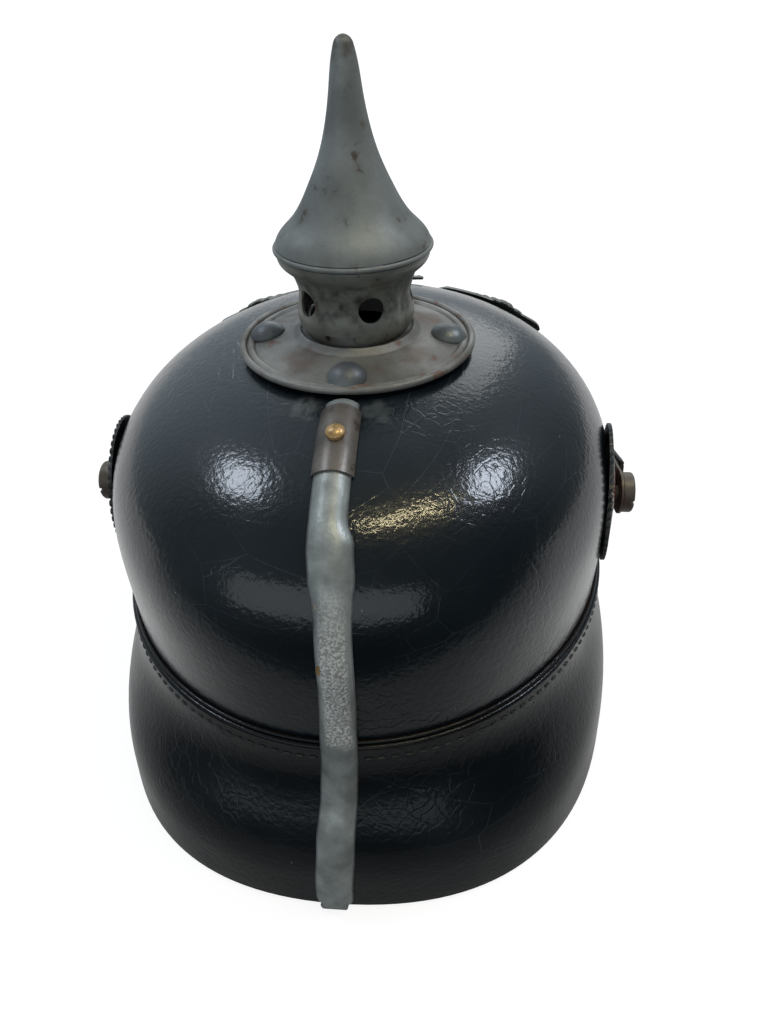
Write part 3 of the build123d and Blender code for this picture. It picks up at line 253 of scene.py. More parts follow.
# %% Patent leather
def patent_leather(name, base, worn, lining, crack_size, gloss, smudges=()):
    """Lacquered black leather. Its inner side shows the bare lining colour, and has no gloss."""
    material, tree, shader, place = start_material(name, base, 0.34)
    _, cloud_share, tone = add_clouds(tree, place, 45, 3, 0.42, 0.7, colour(base), colour(worn))
    dust = add_node(tree, "ShaderNodeTexVoronoi", {"Vector": place, "Scale": per_mm(5.5)}).outputs
    speck = add_node(tree, "ShaderNodeMath", {0: dust["Distance"], 1: 0.05}, operation="LESS_THAN")
    pick = add_node(tree, "ShaderNodeSeparateColor", {0: dust["Color"]})
    picked = add_node(tree, "ShaderNodeMath", {0: pick, 1: 0.86}, operation="GREATER_THAN")
    dust_mask = add_node(tree, "ShaderNodeMath", {0: speck, 1: picked}, operation="MULTIPLY")
    dusted = add_node(tree, "ShaderNodeMix", {0: dust_mask, 6: tone, 7: colour("#5f6564")}, data_type="RGBA")
    streaks = add_node(
        tree, "ShaderNodeMapping", {"Vector": place, "Scale": (1, 0.25, 2.5), "Rotation": (0.4, 0.2, 0.7)}
    )
    scratch = add_node(
        tree, "ShaderNodeTexVoronoi", {"Vector": streaks, "Scale": per_mm(26)}, feature="DISTANCE_TO_EDGE"
    )
    hairline = add_node(tree, "ShaderNodeMapRange", {0: scratch, 1: 0.0, 2: 0.006, 3: 0.4, 4: 0.0})
    rubbed = add_node(tree, "ShaderNodeMath", {0: hairline, 1: cloud_share}, operation="MULTIPLY")
    scuff = colour("#59626a")
    scratched = add_node(tree, "ShaderNodeMix", {0: rubbed, 6: dusted, 7: scuff}, data_type="RGBA")
    smudged = add_patches(tree, place, scratched, smudges)
    facing = add_node(tree, "ShaderNodeNewGeometry").outputs["Normal"]
    outward = add_node(tree, "ShaderNodeVectorMath", {0: place, 1: (1, 1, 0)}, operation="MULTIPLY")
    turned = add_node(tree, "ShaderNodeVectorMath", {0: outward, 1: facing}, operation="DOT_PRODUCT")
    inside = add_node(tree, "ShaderNodeMath", {0: turned, 1: -0.004}, operation="LESS_THAN")
    both_sides = add_node(tree, "ShaderNodeMix", {0: inside, 6: smudged, 7: colour(lining)}, data_type="RGBA")
    warp = add_node(tree, "ShaderNodeTexNoise", {"Vector": place, "Scale": per_mm(9), "Detail": 2}).outputs
    warped = add_node(tree, "ShaderNodeMix", {0: 0.006, 4: place, 5: warp["Color"]}, data_type="VECTOR")
    crack_scale = per_mm(crack_size)
    cracks = add_node(
        tree, "ShaderNodeTexVoronoi", {"Vector": warped, "Scale": crack_scale}, feature="DISTANCE_TO_EDGE"
    )
    crack_depth = add_node(tree, "ShaderNodeMapRange", {0: cracks, 1: 0.0, 2: 0.055})
    crack_zone = add_node(tree, "ShaderNodeTexNoise", {"Vector": place, "Scale": per_mm(60), "Detail": 1})
    crack_strength = add_node(tree, "ShaderNodeMapRange", {0: crack_zone, 1: 0.46, 2: 0.62, 4: 0.5})
    peel = add_node(tree, "ShaderNodeTexNoise", {"Vector": place, "Scale": per_mm(1.9), "Detail": 2})
    peel_bump = add_node(tree, "ShaderNodeBump", {"Height": peel, "Strength": 0.22, "Distance": 0.0006})
    crack_bump = add_node(
        tree,
        "ShaderNodeBump",
        {"Height": crack_depth, "Strength": crack_strength, "Distance": 0.00012, "Normal": peel_bump},
    )
    scratch_depth = add_node(tree, "ShaderNodeMapRange", {0: scratch, 1: 0.0, 2: 0.008})
    scratch_bump = add_node(
        tree,
        "ShaderNodeBump",
        {"Height": scratch_depth, "Strength": 0.16, "Distance": 0.0001, "Normal": crack_bump},
    )
    rough = add_node(tree, "ShaderNodeMapRange", {0: cloud_share, 3: 0.3, 4: 0.46})
    inner_rough = add_node(tree, "ShaderNodeMix", {0: inside, 2: rough, 3: 0.75}, data_type="FLOAT")
    coat = add_node(tree, "ShaderNodeMapRange", {0: inside, 3: gloss, 4: 0.0})
    feed(shader, {"Base Color": both_sides, "Roughness": inner_rough, "Normal": scratch_bump})
    feed(shader, {"Specular IOR Level": 0.16, "Coat Weight": coat, "Coat Roughness": 0.13})
    feed(shader, {"Coat Normal": scratch_bump})
    return material


dusty = "#7b7e7a"
smudges = [(12, 47, 157, 12, dusty, 0.22), (-12, 49, 157, 11, dusty, 0.2), (20, -41, 152, 8, dusty, 0.3)]
shell_leather = patent_leather("black_patent_leather", "#070e14", "#0e171d", "#2a1f17", 5.0, 0.75, smudges)
rear_leather = patent_leather("rear_visor_patent_leather", "#050a0e", "#0a1015", "#241a14", 6.5, 0.3)
front_leather = patent_leather("front_visor_patent_leather", "#050a0e", "#0a1015", "#2f3b27", 6.5, 0.3)
print("patent leathers:", shell_leather.name, rear_leather.name, front_leather.name)


# %% [markdown]
# ## Steel, brass and paint
# The fittings are pressed sheet steel with a dull grey zinc-like finish. After a century it has a satin
# gloss, darker clouds, brown rust spots and small pits. Pictures of rust could be wrapped round it, but noise
# at real sizes has no seams, and one function with a few colours serves every fitting. Stains that show in
# the photo are ragged patches at their own places.

# %% Worn steel
def worn_steel(name, base, dark, rust, rust_from, roughness=0.42, pit_depth=0.2, cloud_size=14.0, stains=()):
    """Satin sheet steel with clouds of tarnish, spots of rust, and stains at given places."""
    material, tree, shader, place = start_material(name, base, roughness, 0.35)
    tarnish, brown = colour(dark), colour(rust)
    _, cloud_share, tone = add_clouds(tree, place, cloud_size, 5, 0.38, 0.66, colour(base), tarnish)
    grain, _, grained = add_clouds(tree, place, 1.1, 3, 0.35, 0.75, tone, tarnish, 0.3)
    rust_to = rust_from + 0.07
    _, rust_share, rusted = add_clouds(tree, place, 7, 6, rust_from, rust_to, grained, brown, 0.9, 0.62)
    stained = add_patches(tree, place, rusted, stains)
    metal = add_node(tree, "ShaderNodeMapRange", {0: rust_share, 3: 0.35, 4: 0.1})
    dull = add_node(tree, "ShaderNodeMapRange", {0: cloud_share, 3: roughness, 4: roughness + 0.12})
    pits = add_node(tree, "ShaderNodeBump", {"Height": grain, "Strength": pit_depth, "Distance": 0.0003})
    feed(shader, {"Base Color": stained, "Metallic": metal, "Roughness": dull, "Normal": pits})
    return material


brown, near_black = "#5d4536", "#20201c"
tip_stains = [(0, 0, 258, 16, "#544d44", 0.75), (-4, 3, 233, 4.5, brown, 0.8), (-2, 9, 212, 4, brown, 0.7)]
# A nearly black patch darkens the spike's neck round its axis at 184 mm, reaching about 42 mm.
neck_darkening = [(0, 0, 184, 42, near_black, 0.9)]
plate_stains = [
    (16, 22, 164, 13, brown, 0.5), (-22, 18, 164, 11, brown, 0.45), (-24, -14, 164, 12, brown, 0.5),
]
spike_steel = worn_steel(
    "spike_zinc_grey_steel", "#888b89", "#6f7270", "#4a3a30", 0.62, 0.52, stains=tip_stains
)
neck_steel = worn_steel(
    "neck_tarnished_steel", "#86867d", "#67665d", "#50382c", 0.62, 0.4, stains=neck_darkening
)
plate_steel = worn_steel("base_plate_steel", "#84837f", "#625f5a", "#66493a", 0.58, 0.46, stains=plate_stains)
stud_steel = worn_steel("stud_steel", "#6e7375", "#505254", "#4b3a31", 0.66, 0.36)
fitting_steel = worn_steel("fitting_steel", "#82868a", "#5f605e", "#4e4038", 0.66)
eagle_steel = worn_steel("eagle_pressed_steel", "#6f716c", "#474842", "#4a392f", 0.64, 0.4)
sleeve_steel = worn_steel("vent_sleeve_brown_steel", "#746c65", "#463e38", "#3a2d27", 0.6, 0.36, 0.12)
post_steel = worn_steel("post_browned_steel", "#6e665c", "#4a4038", "#4f382c", 0.58, 0.45)
print("steels:", [material.name for material in bpy.data.materials if "steel" in material.name])


# %% Brass
def aged_brass(name):
    """Brass with a dull brown film in its hollows."""
    material, tree, shader, place = start_material(name, "#b08c5c", 0.36, 0.45)
    film, _, tone = add_clouds(tree, place, 2.5, 4, 0.4, 0.7, colour("#bf9c6a"), colour("#76593a"), 0.8)
    pits = add_node(tree, "ShaderNodeBump", {"Height": film, "Strength": 0.2, "Distance": 0.0002})
    feed(shader, {"Base Color": tone, "Normal": pits})
    return material


brass = aged_brass("aged_brass")
print("brass:", brass.name)


# %% [markdown]
# ## Cockade paint
# The side discs are thin pressed steel, painted in rings. A picture could hold the rings, but would have to
# be fitted to the disc. Here they are drawn by distance from the disc's own axis, so the paint follows the
# disc, and noise chips it off down to dark metal.

# %% Cockade paint
def ring_paint(name, rings, axis_y, axis_z):
    """Painted rings: each has an outer radius in millimetres and a colour, from the middle outwards."""
    material, tree, shader, place = start_material(name, rings[-1][1], 0.42)
    centre = (0, axis_y * mm, axis_z * mm)
    centred = add_node(tree, "ShaderNodeVectorMath", {0: place, 1: centre}, operation="SUBTRACT")
    flat = add_node(tree, "ShaderNodeVectorMath", {0: centred, 1: (0, 1, 1)}, operation="MULTIPLY")
    reach = add_node(tree, "ShaderNodeVectorMath", {0: flat}, operation="LENGTH")
    paint = colour(rings[-1][1])
    for radius, hex_value in reversed(rings[:-1]):
        within = add_node(tree, "ShaderNodeMath", {0: reach, 1: radius * mm}, operation="LESS_THAN")
        paint = add_node(tree, "ShaderNodeMix", {0: within, 6: paint, 7: colour(hex_value)}, data_type="RGBA")
    chips, _, worn = add_clouds(tree, place, 3.5, 6, 0.58, 0.64, paint, colour("#2b2825"), 0.85)
    film = add_node(tree, "ShaderNodeBump", {"Height": chips, "Strength": 0.25, "Distance": 0.0003})
    feed(shader, {"Base Color": worn, "Normal": film})
    return material


post_y, post_z = 11.0, 101.0
black_paint, white_paint, red_paint = "#15171a", "#b9b5a8", "#7a2a22"
outer_rings = [(19, white_paint), (99, black_paint)]
left_paint = ring_paint("left_cockade_enamel", [(11, black_paint), *outer_rings], post_y, post_z)
right_paint = ring_paint("right_cockade_enamel", [(11, red_paint), *outer_rings], post_y, post_z)
print("enamels:", left_paint.name, right_paint.name)


# %% [markdown]
# ## Plain leathers, thread and cord
# The liner is thin tan sheepskin, dark where hair and sweat touched it. The chinstrap is black leather that
# has worn brown along its edges. The thread is waxed linen, blackened on the outside. Pictures of leather
# could cover them all, but each has pores of one real size, which cells of noise give without any seam.

# %% Plain leathers and thread
def plain_leather(name, base, worn, grain=0.9, roughness=0.62):
    """Undyed or dyed leather with its grain, creases and darker clouds."""
    material, tree, shader, place = start_material(name, base, roughness)
    _, _, tone = add_clouds(tree, place, 22, 5, 0.36, 0.68, colour(base), colour(worn))
    pores = add_node(
        tree, "ShaderNodeTexVoronoi", {"Vector": place, "Scale": per_mm(grain)}, feature="DISTANCE_TO_EDGE"
    )
    pore_bump = add_node(tree, "ShaderNodeBump", {"Height": pores, "Strength": 0.35, "Distance": 0.0003})
    creases = add_node(tree, "ShaderNodeTexNoise", {"Vector": place, "Scale": per_mm(6), "Detail": 4})
    crease_bump = add_node(
        tree, "ShaderNodeBump", {"Height": creases, "Strength": 0.3, "Distance": 0.0008, "Normal": pore_bump}
    )
    feed(shader, {"Base Color": tone, "Normal": crease_bump})
    return material


strap_leather = plain_leather("blackened_strap_leather", "#17120f", "#33241a", 0.7, 0.45)
liner_leather = plain_leather("tan_sheepskin", "#8a6844", "#5a3f26", 1.1)
peg_leather = plain_leather("raw_peg_leather", "#6a4a30", "#4a301d", 0.8)
thread_black = plain_leather("blackened_linen_thread", "#1c1c1b", "#34322e", 0.3, 0.5)
thread_pale = plain_leather("linen_thread", "#b7a583", "#8c7a5a", 0.3, 0.8)
print("materials so far:", len(bpy.data.materials))

# %% [markdown]
# ## Dressing the CAD pieces
# The rigid pieces keep their exact CAD shapes and only get finishes. They could be modelled again here, but
# would fit each other less well. Leather pieces that need stitches, soft edges or creases get help from
# further meshes below.

# %% Finishes for CAD pieces
def dress(material, *names):
    """Give CAD nodes a finish."""
    for name in names:
        data = nodes[name].data
        if not data.materials:
            data.materials.append(material)
        for place in range(len(data.materials)):
            data.materials[place] = material


dress(shell_leather, "skull")
dress(rear_leather, "rear_visor")
dress(front_leather, "front_visor")
dress(spike_steel, "spike_cone", "spike_rim_ring")
dress(neck_steel, "spike_neck")
dress(plate_steel, "base_plate")
dress(stud_steel, "base_studs", "stud_washers")
dress(fitting_steel, "front_visor_trim", "spine_pin_washers", "left_buckle", "right_buckle", "plate_loops")
dress(post_steel, "left_post", "left_post_nut", "left_strap_end")
dress(post_steel, "right_post", "right_post_nut", "right_strap_end")
dress(sleeve_steel, "vent_slide")
dress(brass, "vent_knob", "strap_rivets", "spine_pins")
dress(left_paint, "left_cockade")
dress(right_paint, "right_cockade")
dress(eagle_steel, "eagle_plate")
dress(peg_leather, "plate_pegs")
print("dressed:", sum(1 for node in nodes.values() if node.data.materials), "of", len(nodes))


# %% [markdown]
# ## Meshes from rows of points
# Most added pieces are grids: rows of points, joined by quads. Sculpting could make them too, but rows of
# points keep the sizes exact and the faces few. One helper builds such a grid, open or closed in each
# direction. Another turns its faces outwards, and puts the object at the origin with its place in its mesh.
# Cords and beads have rows that are small ovals, so a third gives the points of one, and a fourth measures
# the way along a line.

# %% Grid meshes
def finish_mesh(name, bm, material, body, replaced=()):
    """Turn a working mesh into a piece that rides a body and takes a given finish."""
    bmesh.ops.remove_doubles(bm, verts=bm.verts, dist=0.00001)
    bmesh.ops.recalc_face_normals(bm, faces=bm.faces)
    data = bpy.data.meshes.new(name)
    bm.to_mesh(data)
    bm.free()
    for face in data.polygons:
        face.use_smooth = True
    data.materials.append(material)
    piece = add_object(name, data)
    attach(piece, body)
    if replaced:
        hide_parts(*replaced)
    print(name, "has", len(data.polygons), "faces")


def add_grid(bm, rows, close_rows=False, close_across=False, caps=False):
    """Add a grid of quads through rows of points given in millimetres."""
    made = [[bm.verts.new(Vector(point) * mm) for point in row] for row in rows]
    count, width = len(made), len(made[0])
    for index in range(count if close_rows else count - 1):
        here, there = made[index], made[(index + 1) % count]
        for side in range(width if close_across else width - 1):
            follow = (side + 1) % width
            bm.faces.new((here[side], here[follow], there[follow], there[side]))
    if caps:
        bm.faces.new(made[0])
        bm.faces.new(list(reversed(made[-1])))


def ring(middle, across, upward, count):
    """Points of an oval round a middle, from its two half axes."""
    turns = [math.tau * step / count for step in range(count)]
    return [middle + across * math.cos(turn) + upward * math.sin(turn) for turn in turns]


def lengths_along(line):
    """The length along a line, up to each of its points."""
    lengths = [0.0]
    for here, there in zip(line, line[1:]):
        lengths.append(lengths[-1] + math.hypot(there[0] - here[0], there[1] - here[1]))
    return lengths


print("mesh helpers ready")


# %% [markdown]
# ## The shell's form in numbers
# Pieces that lie on the leather need its surface. Rays could find it on the CAD mesh, but the flat facets
# of that mesh would show in whatever lies on it. The crown is one curve from the top to the widest level,
# and the plan is an oval, so two short functions give any point of the dome, grown by any clearance.

# %% The dome
skull_half_width, skull_half_length, skull_centre = 98.5, 118.0, -4.0
skull_top, skull_equator, skull_low, skull_narrowing = 161.0, 104.0, 46.0, 2.0
skull_stretch = skull_half_length / skull_half_width
dome_fullness, halvings = 0.66, 40


def crown_shares(step):
    """Shares of plan and rise on the crown's curve, from the top (0) to the widest level (1)."""
    rest = 1 - step
    across = 3 * dome_fullness * step * rest**2 + 3 * step**2 * rest + step**3
    rise = rest**3 + 3 * step * rest**2 + 3 * dome_fullness * step**2 * rest
    return across, rise


def plan_reach(height, growth=0.0):
    """Half width of the dome at a height."""
    if height <= skull_equator:
        share = (skull_equator - height) / (skull_equator - skull_low)
        return skull_half_width + growth - skull_narrowing * max(share, 0) ** 2
    low, high = 0.0, 1.0
    rise = (height - skull_equator) / (skull_top + growth - skull_equator)
    for _ in range(halvings):
        middle = (low + high) / 2
        if crown_shares(middle)[1] > rise:
            low = middle
        else:
            high = middle
    return (skull_half_width + growth) * crown_shares(low)[0]


def front_point(across, height, growth):
    """A point on the dome's front."""
    run = math.sqrt(max(plan_reach(height, growth) ** 2 - across**2, 0)) * skull_stretch
    return Vector((across, skull_centre - run, height))


print("front of the dome at the widest level:", front_point(0, skull_equator, 0))

# %% [markdown]
# ## Spine
# The spine is a strip of sheet steel, pressed to a shallow arch and bent by hand down the rear, so its edges
# wander and its width changes. Its middle line is the CAD's: one arc, then arcs that each leave in the
# direction the last one ended, then a smooth curve that lies on the visor, which rays from behind measure.
# Points crowd together at both ends, which are round. The wander and the widths were read against the photo.

# %% The spine's middle line
def arc_points(start, direction, end, count):
    """Points on the arc that leaves start in a direction and reaches end, and its last direction."""
    chord = (end[0] - start[0], end[1] - start[1])
    span = math.hypot(*chord)
    turn = math.atan2(
        direction[0] * chord[1] - direction[1] * chord[0], direction[0] * chord[0] + direction[1] * chord[1]
    )
    heading = math.atan2(direction[1], direction[0])
    points = []
    for step in range(1, count + 1):
        share = step / count
        reach = span * (math.sin(turn * share) / math.sin(turn) if abs(turn) > 1e-6 else share)
        angle = heading + turn * share
        points.append((start[0] + reach * math.cos(angle), start[1] + reach * math.sin(angle)))
    return points, (math.cos(heading + 2 * turn), math.sin(heading + 2 * turn))


run_centre, run_radius = (29.777, 31.932), 127.243
run_start, run_end, run_steps, crowding = 44.8, 92.0, 24, 1.8
spine_turns = [(103.97, 133.09), (111.05, 121.9), (115.3, 100.8)]
first_angle, last_angle = [math.acos((y - run_centre[0]) / run_radius) for y in (run_start, run_end)]
spine_line = []
for step in range(run_steps + 1):
    angle = first_angle + (last_angle - first_angle) * (step / run_steps) ** crowding
    reach = (run_radius * math.cos(angle), run_radius * math.sin(angle))
    spine_line.append((run_centre[0] + reach[0], run_centre[1] + reach[1]))
heading = (math.sin(last_angle), -math.cos(last_angle))
for target in spine_turns:
    points, heading = arc_points(spine_line[-1], heading, target, 14)
    spine_line.extend(points)
visor_mesh = nodes["rear_visor"].data
visor_corners = [vertex.co.copy() for vertex in visor_mesh.vertices]
visor_tree = BVHTree.FromPolygons(visor_corners, [tuple(face.vertices) for face in visor_mesh.polygons])
far_behind = 300


def visor_back(height):
    """Reach of the visor's outer face at the rear, by a ray from behind."""
    hit = visor_tree.ray_cast(Vector((0, far_behind * mm, height * mm)), Vector((0, -1, 0)))[0]
    return hit.y / mm


foot_gap, foot_steps = 0.5, 8
foot_heights = (69.8, 56.0, 46.0, 37.0, 27.0, 19.0, 10.0, 1.8)
foot = [spine_line[-1]] + [(visor_back(height) + foot_gap, height) for height in foot_heights]
slopes = [heading[0] / heading[1]]
for before, here, after in zip(foot, foot[1:], foot[2:]):
    slopes.append((after[0] - before[0]) / (after[1] - before[1]))
slopes.append(0.0)
for place in range(len(foot) - 1):
    (y_a, z_a), (y_b, z_b) = foot[place], foot[place + 1]
    for step in range(1, foot_steps + 1):
        t = step / foot_steps
        if place == len(foot) - 2:
            t = 1 - (1 - t) ** crowding
        rise = z_b - z_a
        y = (
            y_a * (2 * t**3 - 3 * t**2 + 1)
            + slopes[place] * rise * (t**3 - 2 * t**2 + t)
            + y_b * (3 * t**2 - 2 * t**3)
            + slopes[place + 1] * rise * (t**3 - t**2)
        )
        spine_line.append((y, z_a + rise * t))
print("spine points:", len(spine_line), "last:", spine_line[-1])

# %% Spine sheet
slide_foot, spine_middle, hook_centre = 144.0, 90.0, 1.4
# By height: sideways wander and half width, in millimetres.
spine_widths = [
    (158.3, 0.0, 5.6), (153.2, 0.0, 5.8), (144.2, 0.0, 5.85), (139.8, -1.3, 7.1), (132.9, -2.1, 7.0),
    (127.0, -2.5, 6.2), (121.9, -2.7, 5.7), (100.8, -3.0, 5.75), (71.3, -2.2, 6.1),
    (50.0, -1.2, 6.4), (33.2, 0.0, 6.7), (10.0, 1.2, 6.8), (0.0, 1.4, 6.6),
]
# Round the visor's edge: reach behind the foot, height and half width.
hook_line = [
    (1.9, 4.2, 5.0), (1.9, 2.9, 4.7), (1.8, 1.9, 4.3), (1.5, 1.1, 3.8), (0.8, 0.45, 3.3),
    (-1.2, 0.12, 3.2), (-3.0, 0.4, 3.2), (-3.55, 2.0, 3.2), (-3.6, 4.6, 3.2),
]


def spine_at(height):
    """Wander and half width of the spine at a height."""
    for (high, wander_a, half_a), (low, wander_b, half_b) in zip(spine_widths, spine_widths[1:]):
        if height >= low:
            share = min(max((high - height) / (high - low), 0), 1)
            share = share * share * (3 - 2 * share)
            return wander_a + (wander_b - wander_a) * share, half_a + (half_b - half_a) * share
    return spine_widths[-1][1], spine_widths[-1][2]


def make_spine():
    """Sweep an arched sheet down the middle line, round at both ends and hooked at the foot."""
    rise, sheet, across, corner = 3.1, 1.0, 17, 2.6
    end_fade, slide_fade = 5, 6.0
    lengths = lengths_along(spine_line)
    total = lengths[-1]
    rows = []
    for index, (y, z) in enumerate(spine_line):
        ahead = spine_line[min(index + 1, len(spine_line) - 1)]
        behind = spine_line[max(index - 1, 0)]
        turn = math.hypot(ahead[0] - behind[0], ahead[1] - behind[1])
        out = ((behind[1] - ahead[1]) / turn, (ahead[0] - behind[0]) / turn)
        wander, half = spine_at(z)
        end_gap = min(lengths[index], total - lengths[index])
        reach = corner if z > spine_middle else 2 * corner
        short = max(reach - end_gap, 0) / reach
        half_here = half - corner * (1 - math.sqrt(max(1 - short**2, 0.01)))
        past_slide = min(max((slide_foot - z) / slide_fade, 0), 1)
        dents = 0.16 * math.sin(lengths[index] * 0.21) + 0.1 * math.sin(lengths[index] * 0.47 + 1)
        high = (rise + dents * past_slide) * min(1, 0.35 + end_gap / end_fade)
        outer, inner = [], []
        for step in range(across):
            place = 2 * step / (across - 1) - 1
            arch = (1 - abs(place) ** 2.4) * high
            outer.append((wander - half_here * place, y + out[0] * arch, z + out[1] * arch))
            under = max(arch - sheet, 0)
            inner.append((wander - (half_here - sheet) * place, y + out[0] * under, z + out[1] * under))
        rows.append(outer + list(reversed(inner)))
    bm = bmesh.new()
    add_grid(bm, rows, close_across=True, caps=True)
    foot_y = spine_line[-1][0]
    hook = []
    for y, z, half in hook_line:
        thick = 0.8 if z > 1 else 0.75
        inner_y, inner_z = (y - thick, z) if y > 1.5 else ((y, z + thick) if y > -3 else (y + thick, z))
        low_x, high_x = hook_centre - half, hook_centre + half
        outside = [(low_x, foot_y + y, z), (high_x, foot_y + y, z)]
        hook.append(outside + [(high_x, foot_y + inner_y, inner_z), (low_x, foot_y + inner_y, inner_z)])
    add_grid(bm, hook, close_across=True, caps=True)
    finish_mesh("spine_sheet", bm, spine_steel, "helmet", ["rear_spine"])


# %% [markdown]
# ## Spine finish
# The spine's zinc-like skin is paler than the rest. Below the shoulder a patch of it is rough and grainy,
# and there its colour is also raised near white as a painted highlight, for light the patch catches. Under
# that, and near the slide, it is smooth and bluish. The patch could be painted by hand, but two levels of
# height and the distance from the middle line pick the zone, and noise makes its edges ragged.

# %% Spine finish
def spine_finish():
    """Pale sheet steel with a pitted patch half way down, whose colour is raised near white there as a
    painted highlight.
    """
    material = worn_steel("spine_pale_zinc_steel", "#a2a6a4", "#787b79", "#5f5a52", 0.7, 0.4, 0.25, 9.0)
    tree = material.node_tree
    shader = tree.nodes["Principled BSDF"]
    old_tone, old_rough, old_bump = [
        shader.inputs[name].links[0].from_socket for name in ("Base Color", "Roughness", "Normal")
    ]
    place = add_node(tree, "ShaderNodeTexCoord").outputs["Object"]
    split_place = add_node(tree, "ShaderNodeSeparateXYZ", {0: place}).outputs
    wobble = add_node(tree, "ShaderNodeTexNoise", {"Vector": place, "Scale": per_mm(6), "Detail": 3})
    # In metres: where the patch starts and is full, above, below and across, its wander and raggedness.
    above, below, across, wander, ragged = (0.138, 0.118), (0.078, 0.081), (0.0048, 0.0034), 0.0028, 0.008
    level = add_node(
        tree, "ShaderNodeMath", {0: wobble, 1: ragged, 2: split_place["Z"]}, operation="MULTIPLY_ADD"
    )
    upper = add_node(tree, "ShaderNodeMapRange", {0: level, 1: above[0], 2: above[1]})
    lower = add_node(tree, "ShaderNodeMapRange", {0: level, 1: below[0], 2: below[1]})
    aside = add_node(tree, "ShaderNodeMath", {0: split_place["X"], 1: wander}, operation="ADD")
    far = add_node(tree, "ShaderNodeMath", {0: aside}, operation="ABSOLUTE")
    middle = add_node(tree, "ShaderNodeMapRange", {0: far, 1: across[0], 2: across[1]})
    zone = add_node(tree, "ShaderNodeMath", {0: upper, 1: lower}, operation="MULTIPLY")
    patch = add_node(tree, "ShaderNodeMath", {0: zone, 1: middle}, operation="MULTIPLY")
    # Grainy patch colour raised near white: real grain and a painted highlight.
    pits, _, grain_and_painted_highlight_tone = add_clouds(tree, place, 0.8, 4, 0.42, 0.6, colour("#a3a19c"), colour("#f1f0eb"))
    grain_and_highlight_share = add_node(tree, "ShaderNodeMath", {0: patch, 1: 0.85}, operation="MULTIPLY")
    mixed = add_node(tree, "ShaderNodeMix", {0: grain_and_highlight_share, 6: old_tone, 7: grain_and_painted_highlight_tone}, data_type="RGBA")
    rough = add_node(tree, "ShaderNodeMix", {0: patch, 2: old_rough, 3: 0.62}, data_type="FLOAT")
    pit_strength = add_node(tree, "ShaderNodeMath", {0: patch, 1: 0.5}, operation="MULTIPLY")
    pit_bump = add_node(
        tree,
        "ShaderNodeBump",
        {"Height": pits, "Strength": pit_strength, "Distance": 0.0005, "Normal": old_bump},
    )
    feed(shader, {"Base Color": mixed, "Roughness": rough, "Normal": pit_bump})
    return material


spine_steel = spine_finish()
make_spine()

# %% [markdown]
# ## Visor seams
# Each visor is sewn to the shell's rim. From outside the seam shows a rounded leather edge, a thin welt
# above it with a dark gap between, and a row of short blackened stitches below. The edges are profiles swept
# round the shell's own oval. Curves with a bevel could make them too, but such a bevel turns as its curve
# does, and these have to stay square to the leather.

# %% Points along a seam
seam_at_axis, seam_tilt = 65.21, math.tan(math.radians(2.4))
visor_stand_off = 2.6


def seam_point(angle, drop, growth):
    """A point on the visor's outer face by its angle round the shell, below the sewn edge, grown outwards."""
    height = seam_at_axis
    for _ in range(3):
        shell = plan_reach(height)
        wide = shell + visor_stand_off + growth
        long = shell * skull_stretch + visor_stand_off + growth
        y = skull_centre + long * math.sin(angle)
        height = seam_at_axis + y * seam_tilt - drop
    return Vector((wide * math.cos(angle), y, height))


def seam_angles(first, last, count):
    """Angles round the shell, in even steps between two given in degrees."""
    return [math.radians(first + (last - first) * step / (count - 1)) for step in range(count)]


def swept_edge(name, angles, drop, growth, half_sizes, material):
    """A rounded edge, swept along a seam: an oval section with half sizes across and along the wall."""
    rows = []
    for angle in angles:
        middle = seam_point(angle, drop, growth)
        beyond = seam_point(angle, drop, growth + 1)
        below = seam_point(angle, drop + 1, growth)
        rows.append(ring(middle, (beyond - middle) * half_sizes[0], (below - middle) * half_sizes[1], 12))
    bm = bmesh.new()
    add_grid(bm, rows, close_across=True, caps=True)
    finish_mesh(name, bm, material, "helmet")


rear_angles = seam_angles(-9.5, 189.5, 150)
front_angles = seam_angles(194, 346, 120)
bead_sizes, welt_sizes = (1.15, 0.95), (0.75, 0.65)
swept_edge("rear_visor_edge_bead", rear_angles, 0.1, -1.1, bead_sizes, rear_leather)
swept_edge("rear_visor_welt", rear_angles, -1.75, -1.85, welt_sizes, rear_leather)
swept_edge("front_visor_edge_bead", front_angles, 0.1, -1.1, bead_sizes, front_leather)
print("seam from", seam_point(rear_angles[0], 0, 0), "to", seam_point(rear_angles[-1], 0, 0))


# %% [markdown]
# ## Stitches
# Each stitch is a short length of waxed thread, pulled into the leather at both ends. Modelled one by one
# they would be hundreds of objects. A node tree lays one stretched ball at each step along a line instead, so
# the pitch, the stitch's length and the thread's radius stay three plain numbers.

# %% Stitches by Geometry Nodes
stitch_sizes = ("Pitch", "Stitch Length", "Thread Radius")


